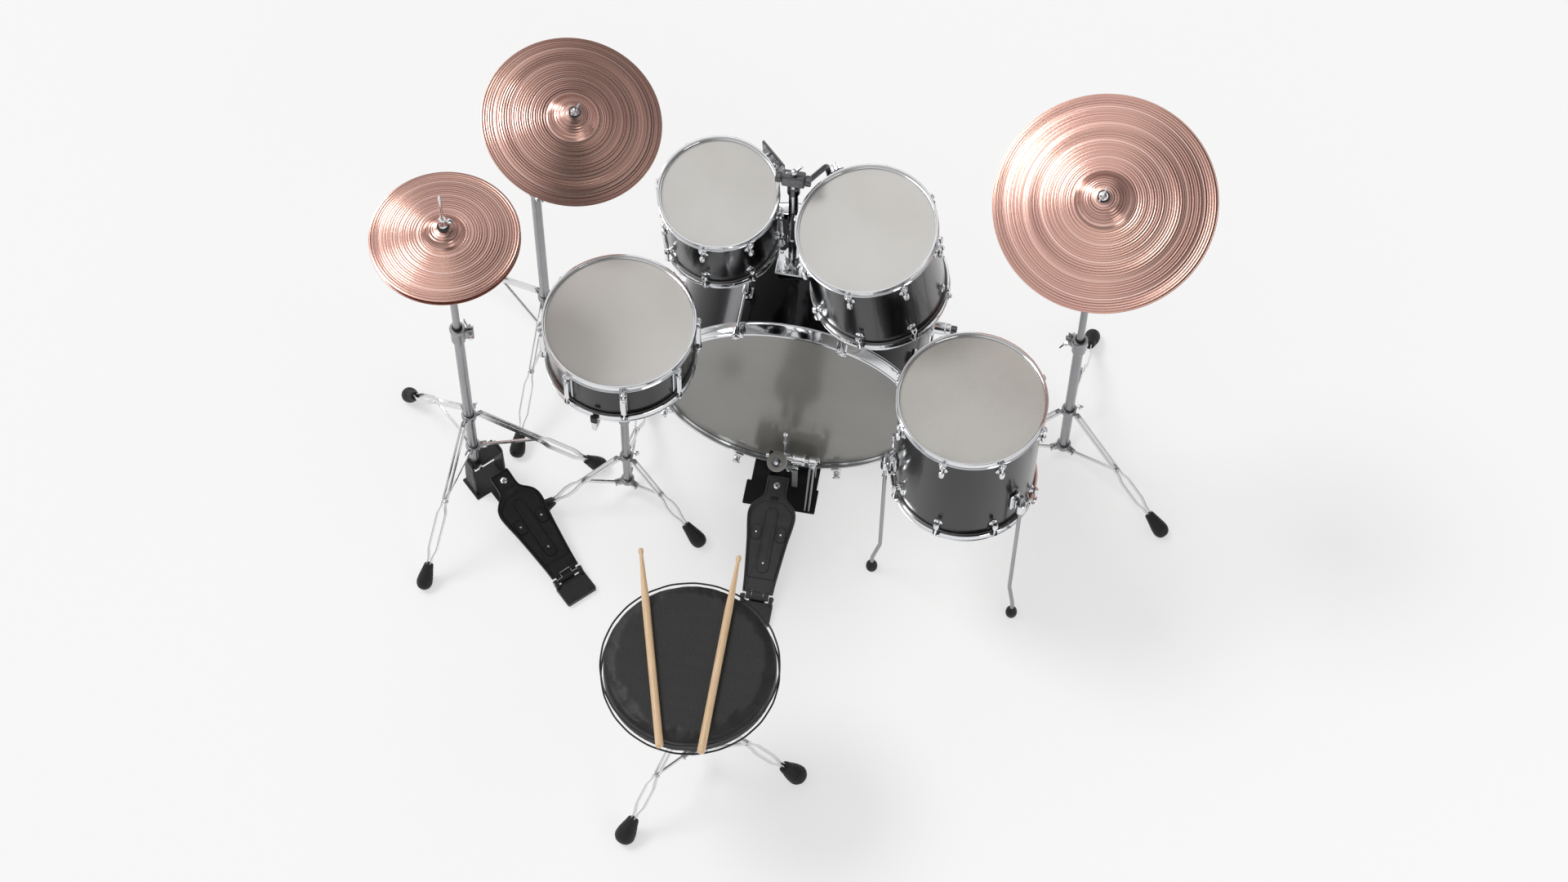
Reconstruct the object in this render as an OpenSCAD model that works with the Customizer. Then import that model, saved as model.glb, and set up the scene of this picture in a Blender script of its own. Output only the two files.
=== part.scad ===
// Five-piece acoustic drum kit with hi-hat, crash, ride, pedals, throne and sticks.
// Frame: +Y runs along the bass drum away from the player, +X is the player's
// right, +Z is up. The origin is on the floor under the batter hoop.

/* [Bass drum] */
// Outer radius of the bass drum shell
bass_r = 282; // [278:1:284]
// Length of the bass drum shell
bass_len = 314; // [300:2:340]
// Height of the bass drum axis over the floor
bass_z = 322; // [321:1:326]
// Number of tension claws on each bass hoop
bass_claws = 8; // [6:2:10]

/* [Toms and snare] */
// Shell radius of the small tom
tom_s_r = 122; // [118:1:124]
// Overall height of the small tom, hoop to hoop
tom_s_h = 219; // [190:1:225]
// Shell radius of the large tom
tom_l_r = 143; // [138:1:145]
// Overall height of the large tom, hoop to hoop
tom_l_h = 284; // [250:1:288]
// Shell radius of the floor tom
floor_r = 152.4; // [148:0.2:156]
// Overall height of the floor tom, hoop to hoop
floor_h = 351; // [320:1:360]
// Shell radius of the snare drum
snare_r = 156.5; // [150:0.5:158]
// Overall height of the snare drum, hoop to hoop
snare_h = 149; // [130:1:152]
// Number of tension lugs round each small drum
lugs = 8; // [6:2:8]

/* [Cymbals] */
// Radius of the hi-hat cymbals
hat_r = 155; // [145:1:165]
// Radius of the crash cymbal
crash_r = 193; // [180:1:200]
// Radius of the ride cymbal
ride_r = 232; // [215:1:240]
// Thickness of the cymbal metal
cym_t = 2; // [1.5:0.1:2.5]
// Gap between the two hi-hat cymbal edges when open
hat_gap = 12; // [11:1:16]

/* [Stands] */
// Radius of the stand base tubes
tube_r = 11; // [10:0.5:11.5]
// Radius of the sliding upper tubes
post_r = 8; // [6.5:0.5:8]
// Width of the flat strips in the stand legs
strip_w = 12; // [9:1:14]
// Thickness of the flat strips in the stand legs
strip_t = 2.2; // [1.6:0.2:2.4]

/* [Throne and sticks] */
// Radius of the throne seat
seat_r = 189; // [170:1:195]
// Height of the top of the seat
seat_z = 530; // [500:1:560]
// Thickness of the seat cushion
seat_t = 64; // [50:1:70]
// Length of each drumstick
stick_len = 460; // [400:5:470]
// Thickest radius of each drumstick
stick_r = 8.5; // [7:0.5:9]

/* [Pedals] */
// Width of the pedal boards at the widest point
board_w = 110; // [90:1:114]
// Angle of the pedal boards at rest
board_tilt = 14.4; // [13.5:0.1:15]

/* [Hidden] */
$fn = 64;
chrome = "gainsboro"; steel = "darkgray"; black = "#1c1c1e"; bronze = "#c48a78";
// positions of the pieces on the floor plan
hh = [-690, -172]; cr = [-608, 226]; rd = [615, 161]; sn = [-351, -118]; th = [-76, -764];
snare_top = [-351, -110, 745]; floor_top = [412, -153, 732];
tom_s_top = [-184, 145, 905]; tom_s_n = [-0.010, -0.141, 0.990];
tom_l_top = [139, 96, 932]; tom_l_n = [-0.121, -0.110, 0.987];
post_xy = [-28, 172];
crash_c = [-520, 249, 923]; crash_n = [0.185, -0.149, 0.971];
ride_c = [621, 161, 1066]; ride_n = [-0.092, -0.324, 0.941];
hat_z = 1080;
axle_y = -35; axle_z = 112; ped_x = -9;
beater_d = [0, -0.559, 0.829]; beater_len = 130;

function unit(v) = v / norm(v);
// lay +Z along the direction n with no spin about it
module aim(p, n) {
  u = unit(n);
  translate(p) rotate(a = acos(u[2]), v = abs(u[0]) + abs(u[1]) < 1e-9 ? [1, 0, 0] : [-u[1], u[0], 0]) children();
}
// round bar from p to q
module bar(p, q, r) { aim(p, q - p) cylinder(r = r, h = norm(q - p)); }
module tube(ro, ri, h) { difference() { cylinder(r = ro, h = h); translate([0, 0, -1]) cylinder(r = ri, h = h + 2); } }
module ring_at(n, off) { for (i = [0:n - 1]) rotate([0, 0, off + i * 360 / n]) children(); }

// ---------- drums; local z = 0 is the top of the upper hoop ----------
module drum_shell(r, h) { translate([0, 0, -h + 12.1]) tube(r, r - 6, h - 24.2); }
module drum_head(r) {
  rotate_extrude() polygon([[0, -12], [0, -10.6], [r + 3, -10.6], [r + 3, -20], [r + 0.4, -20], [r + 0.4, -12]]);
}
module drum_heads(r, h) { drum_head(r); translate([0, 0, -h]) mirror([0, 0, 1]) drum_head(r); }
module drum_hoop(r, n, off) {
  rotate_extrude() polygon([[r + 3.2, -23], [r + 8, -23], [r + 8, -20.6], [r + 5.6, -20.6], [r + 5.6, -2.4],
    [r + 8, -2.4], [r + 8, 0], [r + 3.2, 0], [r + 3.2, -8], [r + 1, -8], [r + 1, -10.5], [r + 3.2, -10.5]]);
  ring_at(n, off) translate([r + 6.6, -8, -22.8]) cube([11.4, 16, 1.9]);
}
module drum_hoops(r, h, n, off) { drum_hoop(r, n, off); translate([0, 0, -h]) mirror([0, 0, 1]) drum_hoop(r, n, off); }
// short separate lugs, a pair at each position
module half_lug(r) {
  translate([r + 0.2, 0, -58]) rotate([0, 90, 0]) cylinder(r = 7, h = 7, $fn = 32);
  translate([r + 12.5, 0, -66]) cylinder(r = 6.5, h = 17, $fn = 32);
  translate([r + 12.5, 0, -49]) cylinder(r = 2.5, h = 25.9, $fn = 24);
  translate([r + 12.5, 0, -20.5]) cylinder(r = 5, h = 5, $fn = 32);
}
module short_lugs(r, h, n, off) {
  ring_at(n, off) { half_lug(r); translate([0, 0, -h]) mirror([0, 0, 1]) half_lug(r); }
}
// one long lug spans the shallow snare shell
module long_lugs(r, h, n, off) {
  ring_at(n, off) {
    translate([r + 0.3, -7, -h + 40]) cube([15, 14, h - 80]);
    for (m = [0, 1]) translate([0, 0, -m * h]) mirror([0, 0, m]) {
      translate([r + 12.5, 0, -40]) cylinder(r = 2.5, h = 16.9, $fn = 24);
      translate([r + 12.5, 0, -20.5]) cylinder(r = 5, h = 5, $fn = 32);
    }
  }
}

// ---------- cymbal; local z = 0 is the plane of the edge ----------
module cymbal(r, rise, bell_r, bell_h, hole) {
  t = cym_t;
  rotate_extrude($fn = 128) polygon(concat(
    [[hole, rise + bell_h - t], [bell_r * 0.45, rise + bell_h * 0.86 - t], [bell_r * 0.8, rise + bell_h * 0.45 - t], [bell_r, rise - t]],
    [for (i = [1:5]) [bell_r + (r - bell_r) * i / 5, (rise) * (1 - pow(i / 5, 1.35)) - (i == 5 ? 0 : t)]],
    [[r, 0.9]],
    [for (i = [4:-1:0]) [bell_r + (r - bell_r) * i / 5, (rise) * (1 - pow(i / 5, 1.35)) + 0.3]],
    [[bell_r * 0.8, rise + bell_h * 0.45 + 0.3], [bell_r * 0.45, rise + bell_h * 0.86 + 0.2], [hole, rise + bell_h]]));
}

// ---------- folding tripod parts ----------
// Leg in its own line: x runs from the top pivot to the foot, two bent strips
module leg_strips(len, xj) {
  for (s = [-1, 1]) translate([0, 0, -strip_w / 2]) linear_extrude(strip_w)
    polygon([for (p = [[-6, 3.4], [xj + 12, 3.4], [xj + 34, 8.6], [len - 92, 8.6], [len - 66, 2.8], [len - 52.2, 2.8],
      [len - 52.2, 2.8 + strip_t], [len - 66, 2.8 + strip_t], [len - 92, 8.6 + strip_t], [xj + 34, 8.6 + strip_t], [xj + 12, 3.4 + strip_t], [-6, 3.4 + strip_t]]) [p[0], s * p[1]]]);
}
module leg_boot(len, k) {
  translate([len - 52, 0, 0]) rotate([0, 90, 0]) rotate_extrude($fn = 48)
    polygon([[0, 0], [8, 0], [9.5 * k, 4], [14 * k, 34], [15 * k, 42], [15 * k, 48], [12.6 * k, 56], [8 * k, 62], [0, 65]]);
}
// beta: angle of the leg below the horizontal, pivot at radius rk and height zk
module leg(rk, zk, rb, zb, xj, k = 1.2) {
  beta = atan2(zk - zb, rb - rk); len = norm([rb - rk, zk - zb]);
  translate([rk, 0, zk]) rotate([0, beta, 0]) {
    difference() {
      leg_strips(len, xj);
      for (x = [0, xj]) translate([x, 10, 0]) rotate([90, 0, 0]) cylinder(r = 2.8, h = 20, $fn = 24);
    }
    for (s = [-1, 1]) translate([xj, s * (3.5 + strip_t) + (s > 0 ? 2 : 0), 0]) rotate([90, 0, 0]) cylinder(r = 4.5, h = 2, $fn = 24);
  }
  difference() {
    translate([rk, 0, zk]) rotate([0, beta, 0]) leg_boot(len, k);
    translate([rb - 100, -100, -200]) cube([200, 200, 200]);
  }
}
// strut from the lower ring pivot to the joint on the leg
module strut(rk, zk, rb, zb, xj, rl, zl) {
  beta = atan2(zk - zb, rb - rk);
  j = [rk + xj * cos(beta), 0, zk - xj * sin(beta)]; l = norm([j[0] - rl, j[2] - zl]);
  translate([rl, 0, zl]) rotate([0, -atan2(j[2] - zl, j[0] - rl), 0])
    difference() {
      translate([-6, -2.4, -5]) cube([l + 6 + 5, 4.8, 10]);
      translate([0, 5, 0]) rotate([90, 0, 0]) cylinder(r = 2.8, h = 10, $fn = 24);
    }
}
// ring with a forked ear at each leg: ear plates take the pivot pins
module leg_ring(ri, h, angs, rk, z) {
  translate([0, 0, z - h / 2]) tube(ri + 5.5, ri, h);
  for (a = angs) rotate([0, 0, a]) {
    translate([ri + 2, -3, z - 6]) cube([rk + 5 - ri - 2, 6, 12]);
    translate([rk, 6.6, z]) rotate([90, 0, 0]) cylinder(r = 2.5, h = 13.2, $fn = 24);
  }
}
module fork_ring(ri, h, angs, rl, z) {
  translate([0, 0, z - h / 2]) tube(ri + 5.5, ri, h);
  for (a = angs) rotate([0, 0, a]) {
    for (s = [-1, 1]) translate([ri + 2, s * 4.5 - 1.7, z - 6]) cube([rl + 6 - ri - 2, 3.4, 12]);
    translate([rl, 5, z]) rotate([90, 0, 0]) cylinder(r = 2.5, h = 10, $fn = 24);
  }
}
module tripod(angs, rk, zk, rb, zb, xj, rl, zl, k = 1.2, tr = tube_r) {
  for (a = angs) rotate([0, 0, a]) { leg(rk, zk, rb, zb, xj, k); strut(rk, zk, rb, zb, xj, rl, zl); }
  leg_ring(tr + 0.1, 16, angs, rk, zk); fork_ring(tr + 0.1, 14, angs, rl, zl);
}
// clamp collar on top of a base tube, bored for the sliding tube
module clamp_collar(z0, z1, ro, bore, ang) {
  translate([0, 0, z0]) rotate_extrude() polygon([[ro + 0.1, 0], [ro + 2, 0], [ro + 4.5, 9], [ro + 4.5, z1 - z0 - 14],
    [ro + 6, z1 - z0 - 12], [ro + 6, z1 - z0], [bore, z1 - z0], [bore, z1 - z0 - 12], [ro + 0.1, z1 - z0 - 12]]);
  rotate([0, 0, ang]) {
    for (s = [-1, 1]) translate([ro + 3, s * 4.5 - 2, z1 - 40]) cube([20, 4, 26]);
    translate([ro + 14, 16, z1 - 27]) rotate([90, 0, 0]) cylinder(r = 3, h = 32, $fn = 24);
    translate([ro + 14, 16, z1 - 27]) rotate([90, 0, 0]) cylinder(r = 6, h = 5, $fn = 32);
    translate([ro + 14 - 13, 12.5, z1 - 24]) rotate([0, -28, 0]) cube([26, 3, 12]);
  }
}
module rotz(a) { rotate([0, 0, a]) children(); }

// ================= bass drum =================
module bass_axis(y) { translate([0, y, bass_z]) rotate([-90, 0, 0]) children(); }
module bass_shell() {
  color(black) difference() {
    bass_axis(2) tube(bass_r, bass_r - 8, bass_len);
    translate([post_xy[0], post_xy[1], bass_z + bass_r - 40]) cylinder(r = 9.6, h = 60);
  }
}
module bass_head_one() {
  rotate_extrude($fn = 96) polygon([[0, 0], [bass_r + 5, 0], [bass_r + 5, 14], [bass_r + 0.4, 14], [bass_r + 0.4, 1.8], [0, 1.8]]);
}
module bass_heads() {
  color("#8f8d86") { bass_axis(0) bass_head_one(); bass_axis(bass_len + 4) mirror([0, 0, 1]) bass_head_one(); }
}
module bass_hoop_one() {
  rotate_extrude($fn = 96) polygon([[bass_r + 5.3, 0], [bass_r + 12, 0], [bass_r + 12, 2.5], [bass_r + 9.5, 2.5], [bass_r + 9.5, 29.5],
    [bass_r + 12, 29.5], [bass_r + 12, 32], [bass_r + 5.3, 32], [bass_r + 5.3, 11.9], [bass_r + 2.5, 11.9], [bass_r + 2.5, 9.5], [bass_r + 5.3, 9.5]]);
}
module bass_hoops() { color(chrome) { bass_axis(-12) bass_hoop_one(); bass_axis(bass_len + 16) mirror([0, 0, 1]) bass_hoop_one(); } }
module bass_claw() {
  // hook plate in front of the hoop, roof over it, rod and shell lug; local z runs into the drum
  translate([bass_r + 4, -11, -6.2]) cube([16, 22, 6]);
  translate([bass_r + 12.3, -11, 0]) cube([7.5, 22, 24]);
  translate([bass_r + 23, 0, -10]) cylinder(r = 3, h = 108, $fn = 24);
  translate([bass_r + 23, 0, -17]) cylinder(r = 6, h = 6.9, $fn = 32);
  translate([bass_r + 0.6, -9, 98.2]) cube([29, 18, 26]);
}
module bass_hardware() {
  color(chrome) {
    bass_axis(-12) ring_at(bass_claws, 22.5) bass_claw();
    bass_axis(bass_len + 16) mirror([0, 0, 1]) ring_at(bass_claws, 22.5) bass_claw();
    // spur brackets on the sides of the shell
    for (s = [-1, 1]) translate([s * 298, 255, 300]) { rotate([0, s * 90, 0]) translate([0, 0, -15.4]) cylinder(r = 15, h = 29.4); }
    // tom post base with a bored receiver
    difference() {
      translate([post_xy[0] - 34, post_xy[1] - 28, bass_z + bass_r + 0.2]) cube([68, 62, 8]);
      translate([post_xy[0], post_xy[1], 590]) cylinder(r = 9.3, h = 60);
    }
    translate([post_xy[0], post_xy[1], bass_z + bass_r + 8.3]) tube(15, 9.3, 46);
  }
}
module spur(s) {
  color(steel) translate([s * 318, 255, 300]) {
    rotate([0, 90, 0]) translate([0, 0, -5.6]) cylinder(r = 14, h = 11.2);
    bar([0, 3, -13], [0, 66, -278], 5);
    difference() {
      bar([0, 66.2, -279], [0, 70.3, -296.5], 9);
      translate([-20, 40, -320]) cube([40, 60, 20]);
    }
  }
}

// ================= toms =================
module ts() { aim(tom_s_top, tom_s_n) children(); }
module tl() { aim(tom_l_top, tom_l_n) children(); }
module fl() { translate(floor_top) children(); }
module sd() { translate(snare_top) children(); }
module tom_post() {
  color(chrome) translate([post_xy[0], post_xy[1], 0]) {
    translate([0, 0, bass_z + bass_r - 59]) cylinder(r = 9, h = 939.1 - bass_z - bass_r + 59);
    translate([-26, -12, 939.2]) cube([50, 24, 34]);
  }
}
// arms from the ratchet bracket to a plate beside each tom
module tom_holder_left() {
  color("#3a3a3c") {
    translate([post_xy[0] - 39, post_xy[1], 956]) rotate([0, 90, 0]) cylinder(r = 12, h = 12.4);
    bar([post_xy[0] - 34, post_xy[1] + 4, 952], [-63.5, 230, 905], 6);
    ts() rotz(47) translate([tom_s_r + 19.6, -38, -78]) cube([6, 76, 78]);
    ts() rotz(47) for (y = [-31, 31]) translate([tom_s_r - 2, y - 4, -72]) cube([21.8, 8, 12]);
  }
}
module tom_holder_right() {
  color("#3a3a3c") {
    translate([post_xy[0] + 24.6, post_xy[1], 956]) rotate([0, 90, 0]) cylinder(r = 12, h = 12.4);
    tl() rotz(124) {
      bar([142.9, 64.2, 27.4], [171, 13, 2], 6);
      translate([171, 13, 2]) sphere(r = 7);
      bar([171, 13, 2], [171, 13, -45], 6);
    }
    tl() rotz(124) translate([tom_l_r + 19.6, -20, -82]) cube([6, 40, 54]);
    tl() rotz(124) translate([tom_l_r + 0.3, -17, -76]) cube([19.5, 14, 40]);
    tl() rotz(124) translate([tom_l_r + 25.4, -6, -38]) rotate([0, 90, 0]) cylinder(r = 9, h = 18);
  }
}
module tom_small_shell() { color(black) ts() drum_shell(tom_s_r, tom_s_h); }
module tom_small_heads() { color("#e8e6e0") ts() drum_heads(tom_s_r, tom_s_h); }
module tom_small_hoops() { color(chrome) ts() drum_hoops(tom_s_r, tom_s_h, lugs, -5); }
module tom_small_lugs() { color(chrome) ts() short_lugs(tom_s_r, tom_s_h, lugs, -5); }
module tom_large_shell() { color(black) tl() drum_shell(tom_l_r, tom_l_h); }
module tom_large_heads() { color("#e8e6e0") tl() drum_heads(tom_l_r, tom_l_h); }
module tom_large_hoops() { color(chrome) tl() drum_hoops(tom_l_r, tom_l_h, lugs, -6); }
module tom_large_lugs() { color(chrome) tl() short_lugs(tom_l_r, tom_l_h, lugs, -6); }

// ================= floor tom =================
leg_ang = [200, 80, 320];
module floor_tom_shell() { color(black) fl() drum_shell(floor_r, floor_h); }
module floor_tom_heads() { color("#d9d7d0") fl() drum_heads(floor_r, floor_h); }
module floor_tom_hoops() { color(chrome) fl() drum_hoops(floor_r, floor_h, lugs, -13); }
module floor_tom_lugs() {
  color(chrome) fl() {
    short_lugs(floor_r, floor_h, lugs, -13);
    for (a = leg_ang) rotz(a) difference() {
      union() {
        translate([floor_r + 0.6, -12, -262]) cube([8, 24, 54]);
        translate([floor_r + 24, 0, -252]) cylinder(r = 11, h = 34);
        translate([floor_r + 5, -6, -248]) cube([15, 12, 26]);
      }
      translate([floor_r + 24, 0, -270]) cylinder(r = 4.8, h = 80);
    }
  }
}
module floor_leg(a) {
  color(steel) translate([floor_top[0], floor_top[1], 0]) rotz(a) {
    translate([floor_r + 24, 0, 105.1]) cylinder(r = 4.5, h = 440);
    bar([floor_r + 24, 0, 104], [floor_r + 40, 0, 47], 4.5);
    translate([floor_r + 40, 0, 30.1]) cylinder(r = 4.5, h = 16);
    translate([floor_r + 40, 0, 0]) rotate_extrude() polygon([[0, 0], [9, 0], [12, 3], [13, 12], [11, 22], [7, 30], [0, 30]]);
  }
}

// ================= snare and stand =================
module snare_shell() { color(black) sd() drum_shell(snare_r, snare_h); }
module snare_heads() { color("#d6d2cb") sd() drum_heads(snare_r, snare_h); }
module snare_hoops() { color(chrome) sd() drum_hoops(snare_r, snare_h, lugs, 14); }
module snare_lugs() { color(chrome) sd() long_lugs(snare_r, snare_h, lugs, 14); }
sn_ang = [-31, 89, 209];
module snare_stand_tripod() {
  color(steel) translate([sn[0], sn[1], 0]) {
    tripod(sn_ang, 24, 152, 220, 13, 97, 24, 42, 1.2, 9.3);
    translate([0, 0, 30]) tube(9.3, 7.4, 330);
    clamp_collar(312, 366, 9.3, 7.4, 150);
  }
}
module snare_stand_basket() {
  color(steel) translate([sn[0], sn[1], 0]) {
    translate([0, 0, 230]) cylinder(r = 7, h = 310);
    translate([0, 0, 540.1]) cylinder(r = 28, h = 11.7);
    for (a = [21.5, 141.5, 261.5]) translate([0, 8, 0]) rotz(a) {
      translate([10, -4, 552]) cube([snare_r + 8, 8, 9]);
      translate([snare_r + 10, -7, 561.2]) cube([8, 14, 54]);
    }
  }
}

// ================= kick pedal =================
module board(tilt) {
  // s runs from the heel hinge to the toe; a raised lip follows the outline
  w = board_w / 2;
  rotate([tilt, 0, 0]) {
    difference() {
      linear_extrude(9) polygon([[-35, 10], [-50, 165], [-w, 185], [-w + 5, 212], [-24, 236], [-24, 284], [24, 284], [24, 236], [w - 5, 212], [w, 185], [50, 165], [35, 10]]);
      translate([0, 0, 5]) linear_extrude(6) polygon([[-31, 14], [-46, 165], [-w + 4, 184], [-w + 9, 209], [-20, 233], [20, 233], [w - 9, 209], [w - 4, 184], [46, 165], [31, 14]]);
    }
    translate([-4, 60, 5]) cube([8, 110, 2.5]);
    translate([0, 262, 9]) cylinder(r = 7, h = 3);
    translate([0, 0, 3]) rotate([0, 90, 0]) translate([0, 0, -26]) cylinder(r = 5.5, h = 52);
    translate([-26, 2, 0]) cube([52, 8, 6]);
  }
}
module kick_frame() {
  color(black) {
    // front plate, waisted, and the long plate that runs to the heel
    linear_extrude(4) polygon([[-87, -110], [-87, -48], [-77, -48], [-77, 28], [75, 28], [75, -48], [80, -48], [80, -110], [9, -110], [9, -352], [-27, -352], [-27, -110]]);
    translate([ped_x - 38, -410, 0]) cube([76, 54, 7]);
    for (s = [-1, 1]) difference() {
      translate([ped_x + s * 32 - 4.5, -366, 7.1]) cube([9, 22, 20]);
      translate([ped_x + s * 32 - 6, -350, 20.5]) rotate([0, 90, 0]) cylinder(r = 2.4, h = 12, $fn = 24);
    }
    // uprights carry the axle
    for (x = [-34.5, 61.5]) translate([x, axle_y, 0]) difference() {
      union() {
        translate([-3.5, -10, 4.1]) cube([7, 20, axle_z - 8]);
        translate([-3.5, 0, axle_z]) rotate([0, 90, 0]) cylinder(r = 12, h = 7);
      }
      translate([-5, 0, axle_z]) rotate([0, 90, 0]) cylinder(r = 6.3, h = 10);
    }
  }
  color(chrome) {
    // hoop clamp block with its screw post
    difference() {
      translate([ped_x - 24, -23, 4.1]) cube([48, 46, 24]);
      bass_axis(-14) cylinder(r = bass_r + 12.4, h = 60);
    }
    translate([-4, -19, 28.2]) cylinder(r = 3, h = 165);
    translate([-4, -19, 193.3]) cylinder(r = 4.5, h = 7);
  }
}
module kick_footboard() {
  color(black) translate([ped_x, -350, 17.5]) board(board_tilt);
  color(steel) translate([ped_x, -350, 20.5]) rotate([0, 90, 0]) translate([0, 0, -40]) cylinder(r = 2.1, h = 80, $fn = 32);
}
module kick_beater() {
  d = unit(beater_d); c = [ped_x, axle_y, axle_z];
  color(chrome) {
    translate([-45, axle_y, axle_z]) rotate([0, 90, 0]) cylinder(r = 6, h = 118);
    translate([ped_x - 9, axle_y, axle_z]) rotate([0, 90, 0]) cylinder(r = 12, h = 18);
    translate([15, axle_y, axle_z]) rotate([0, 90, 0]) cylinder(r = 15, h = 30);
    bar(c, c + (beater_len - 22) * d, 4);
    bar(c + 140.3 * d, c + 143.3 * d, 8);
  }
  // barrel-shaped felt head round the end of the shaft, washer on top
  color("#4a4a4a") aim(c + 96 * d, d)
    rotate_extrude() polygon([[4.2, 0], [14, 0], [19.5, 2.5], [22, 8], [22, 36], [19.5, 41.5], [14, 44], [0, 44], [0, 12.4], [4.2, 12.4]]);
}

// ================= hi-hat =================
hh_ang = [19, 137, 257];
hh_yaw = 46; hh_off = 30;
module hihat_tripod() {
  color(steel) translate([hh[0], hh[1], 0]) {
    tripod(hh_ang, 26, 328, 284, 13, 194, 25, 188);
    translate([0, 0, 110]) tube(tube_r, 8.3, 590);
    clamp_collar(655, 712, tube_r, 8.3, 20);
  }
}
module hihat_upper_tube() {
  color(steel) translate([hh[0], hh[1], 0]) {
    translate([0, 0, 500]) tube(post_r, 3.6, hat_z - hat_gap - 60 - 500);
    translate([0, 0, hat_z - hat_gap - 60]) tube(16, 3.6, 20);
    translate([0, 0, hat_z - hat_gap - 39.9]) tube(5.4, 3.6, 22);
    translate([0, 0, hat_z - hat_gap - 39.8]) tube(14, 5.5, 5.4);
  }
}
module hihat_bottom_cymbal() {
  color(bronze) translate([hh[0], hh[1], hat_z - hat_gap]) mirror([0, 0, 1]) cymbal(hat_r, 14, 42, 20, 6);
}
module hihat_top_cymbal() { color(bronze) translate([hh[0], hh[1], hat_z]) cymbal(hat_r, 14, 42, 20, 6); }
module hihat_pull_rod() {
  color(chrome) translate([hh[0], hh[1], 0]) {
    translate([0, 0, 132]) cylinder(r = 3.2, h = 1232 - 132);
    difference() {
      union() {
        translate([0, 0, hat_z + 34.6]) cylinder(r = 13, h = 7);
        translate([0, 0, hat_z + 41.6]) cylinder(r = 8, h = 26);
        translate([-13, 6, hat_z + 50]) cube([26, 3.5, 12]);
      }
      translate([0, 0, hat_z]) cylinder(r = 3.2, h = 90);
    }
    translate([0, 0, hat_z + 5]) tube(5.4, 3.2, 29.4);
  }
}
module hihat_pedal_frame() {
  color(black) translate([hh[0], hh[1], 0]) rotz(hh_yaw) {
    linear_extrude(4) polygon([[-24, -34], [-24, 30], [66, 30], [66, -34], [hh_off + 18, -34], [hh_off + 18, -322], [hh_off - 18, -322], [hh_off - 18, -34]]);
    translate([hh_off - 38, -380, 0]) cube([76, 54, 7]);
    for (s = [-1, 1]) difference() {
      translate([hh_off + s * 32 - 4.5, -336, 7.1]) cube([9, 22, 20]);
      translate([hh_off + s * 32 - 6, -320, 20.5]) rotate([0, 90, 0]) cylinder(r = 2.4, h = 12, $fn = 24);
    }
    for (x = [-19, 58]) translate([x, -22, 4.1]) cube([6, 44, 121]);
    difference() {
      translate([-12.9, -20, 112]) cube([70.8, 40, 13]);
      translate([0, 0, 100]) cylinder(r = tube_r + 0.1, h = 30);
    }
  }
}
module hihat_footboard() {
  color(black) translate([hh[0], hh[1], 0]) rotz(hh_yaw) translate([hh_off, -320, 17.5]) board(board_tilt);
  color(steel) translate([hh[0], hh[1], 0]) rotz(hh_yaw) translate([hh_off - 40, -320, 20.5]) rotate([0, 90, 0]) cylinder(r = 2.1, h = 80, $fn = 32);
}

// ================= crash =================
cr_ang = [-92, 31, 148];
crash_t = crash_c - 15 * crash_n; crash_a = unit([-crash_n[1], crash_n[0], 0]);
module crash_tripod() {
  color(steel) translate([cr[0], cr[1], 0]) {
    tripod(cr_ang, 26, 208, 308, 13, 152, 25, 46);
    translate([0, 0, 34]) tube(tube_r, 8.3, 655);
    clamp_collar(646, 700, tube_r, 8.3, -40);
  }
}
// half of a tilter joint that stays on the tube, beside the moving half
module tilt_disc(t, a) { aim(t - 20.5 * a, a) cylinder(r = 14, h = 10); }
module crash_upper_tube() {
  p = [cr[0], cr[1], 800]; q = crash_t - 15.5 * crash_a;
  color(steel) {
    translate([cr[0], cr[1], 470]) cylinder(r = post_r, h = 325);
    translate([cr[0], cr[1] - 9, 800]) rotate([-90, 0, 0]) cylinder(r = 13, h = 18);
    bar(p, q, 6);
    tilt_disc(crash_t, crash_a);
  }
}
module cym_rod(c, n, a, t0, seat, top) {
  // moving half of the joint, rod, seat cup, felts and wing nut
  aim(c - t0 * n - 9 * a, a) cylinder(r = 14, h = 18);
  bar(c - t0 * n, c + (seat - 12) * n, 6);
  bar(c + (seat - 12) * n, c + (top + 14) * n, 3.2);
  bar(c + (seat - 12) * n, c + (seat - 8.2) * n, 14);
  bar(c + (seat - 8.1) * n, c + (seat - 2) * n, 12);
  bar(c + (top + 0.7) * n, c + (top + 9) * n, 13);
  bar(c + (top + 9.1) * n, c + (top + 20) * n, 6.5);
  aim(c + (top + 12) * n, n) translate([-17, -2, 0]) cube([34, 4, 12]);
}
module crash_tilter() { color(chrome) cym_rod(crash_c, crash_n, crash_a, 15, 44, 46); }
module crash_cymbal() { color(bronze) aim(crash_c, crash_n) cymbal(crash_r, 22, 55, 24, 6.5); }

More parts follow.
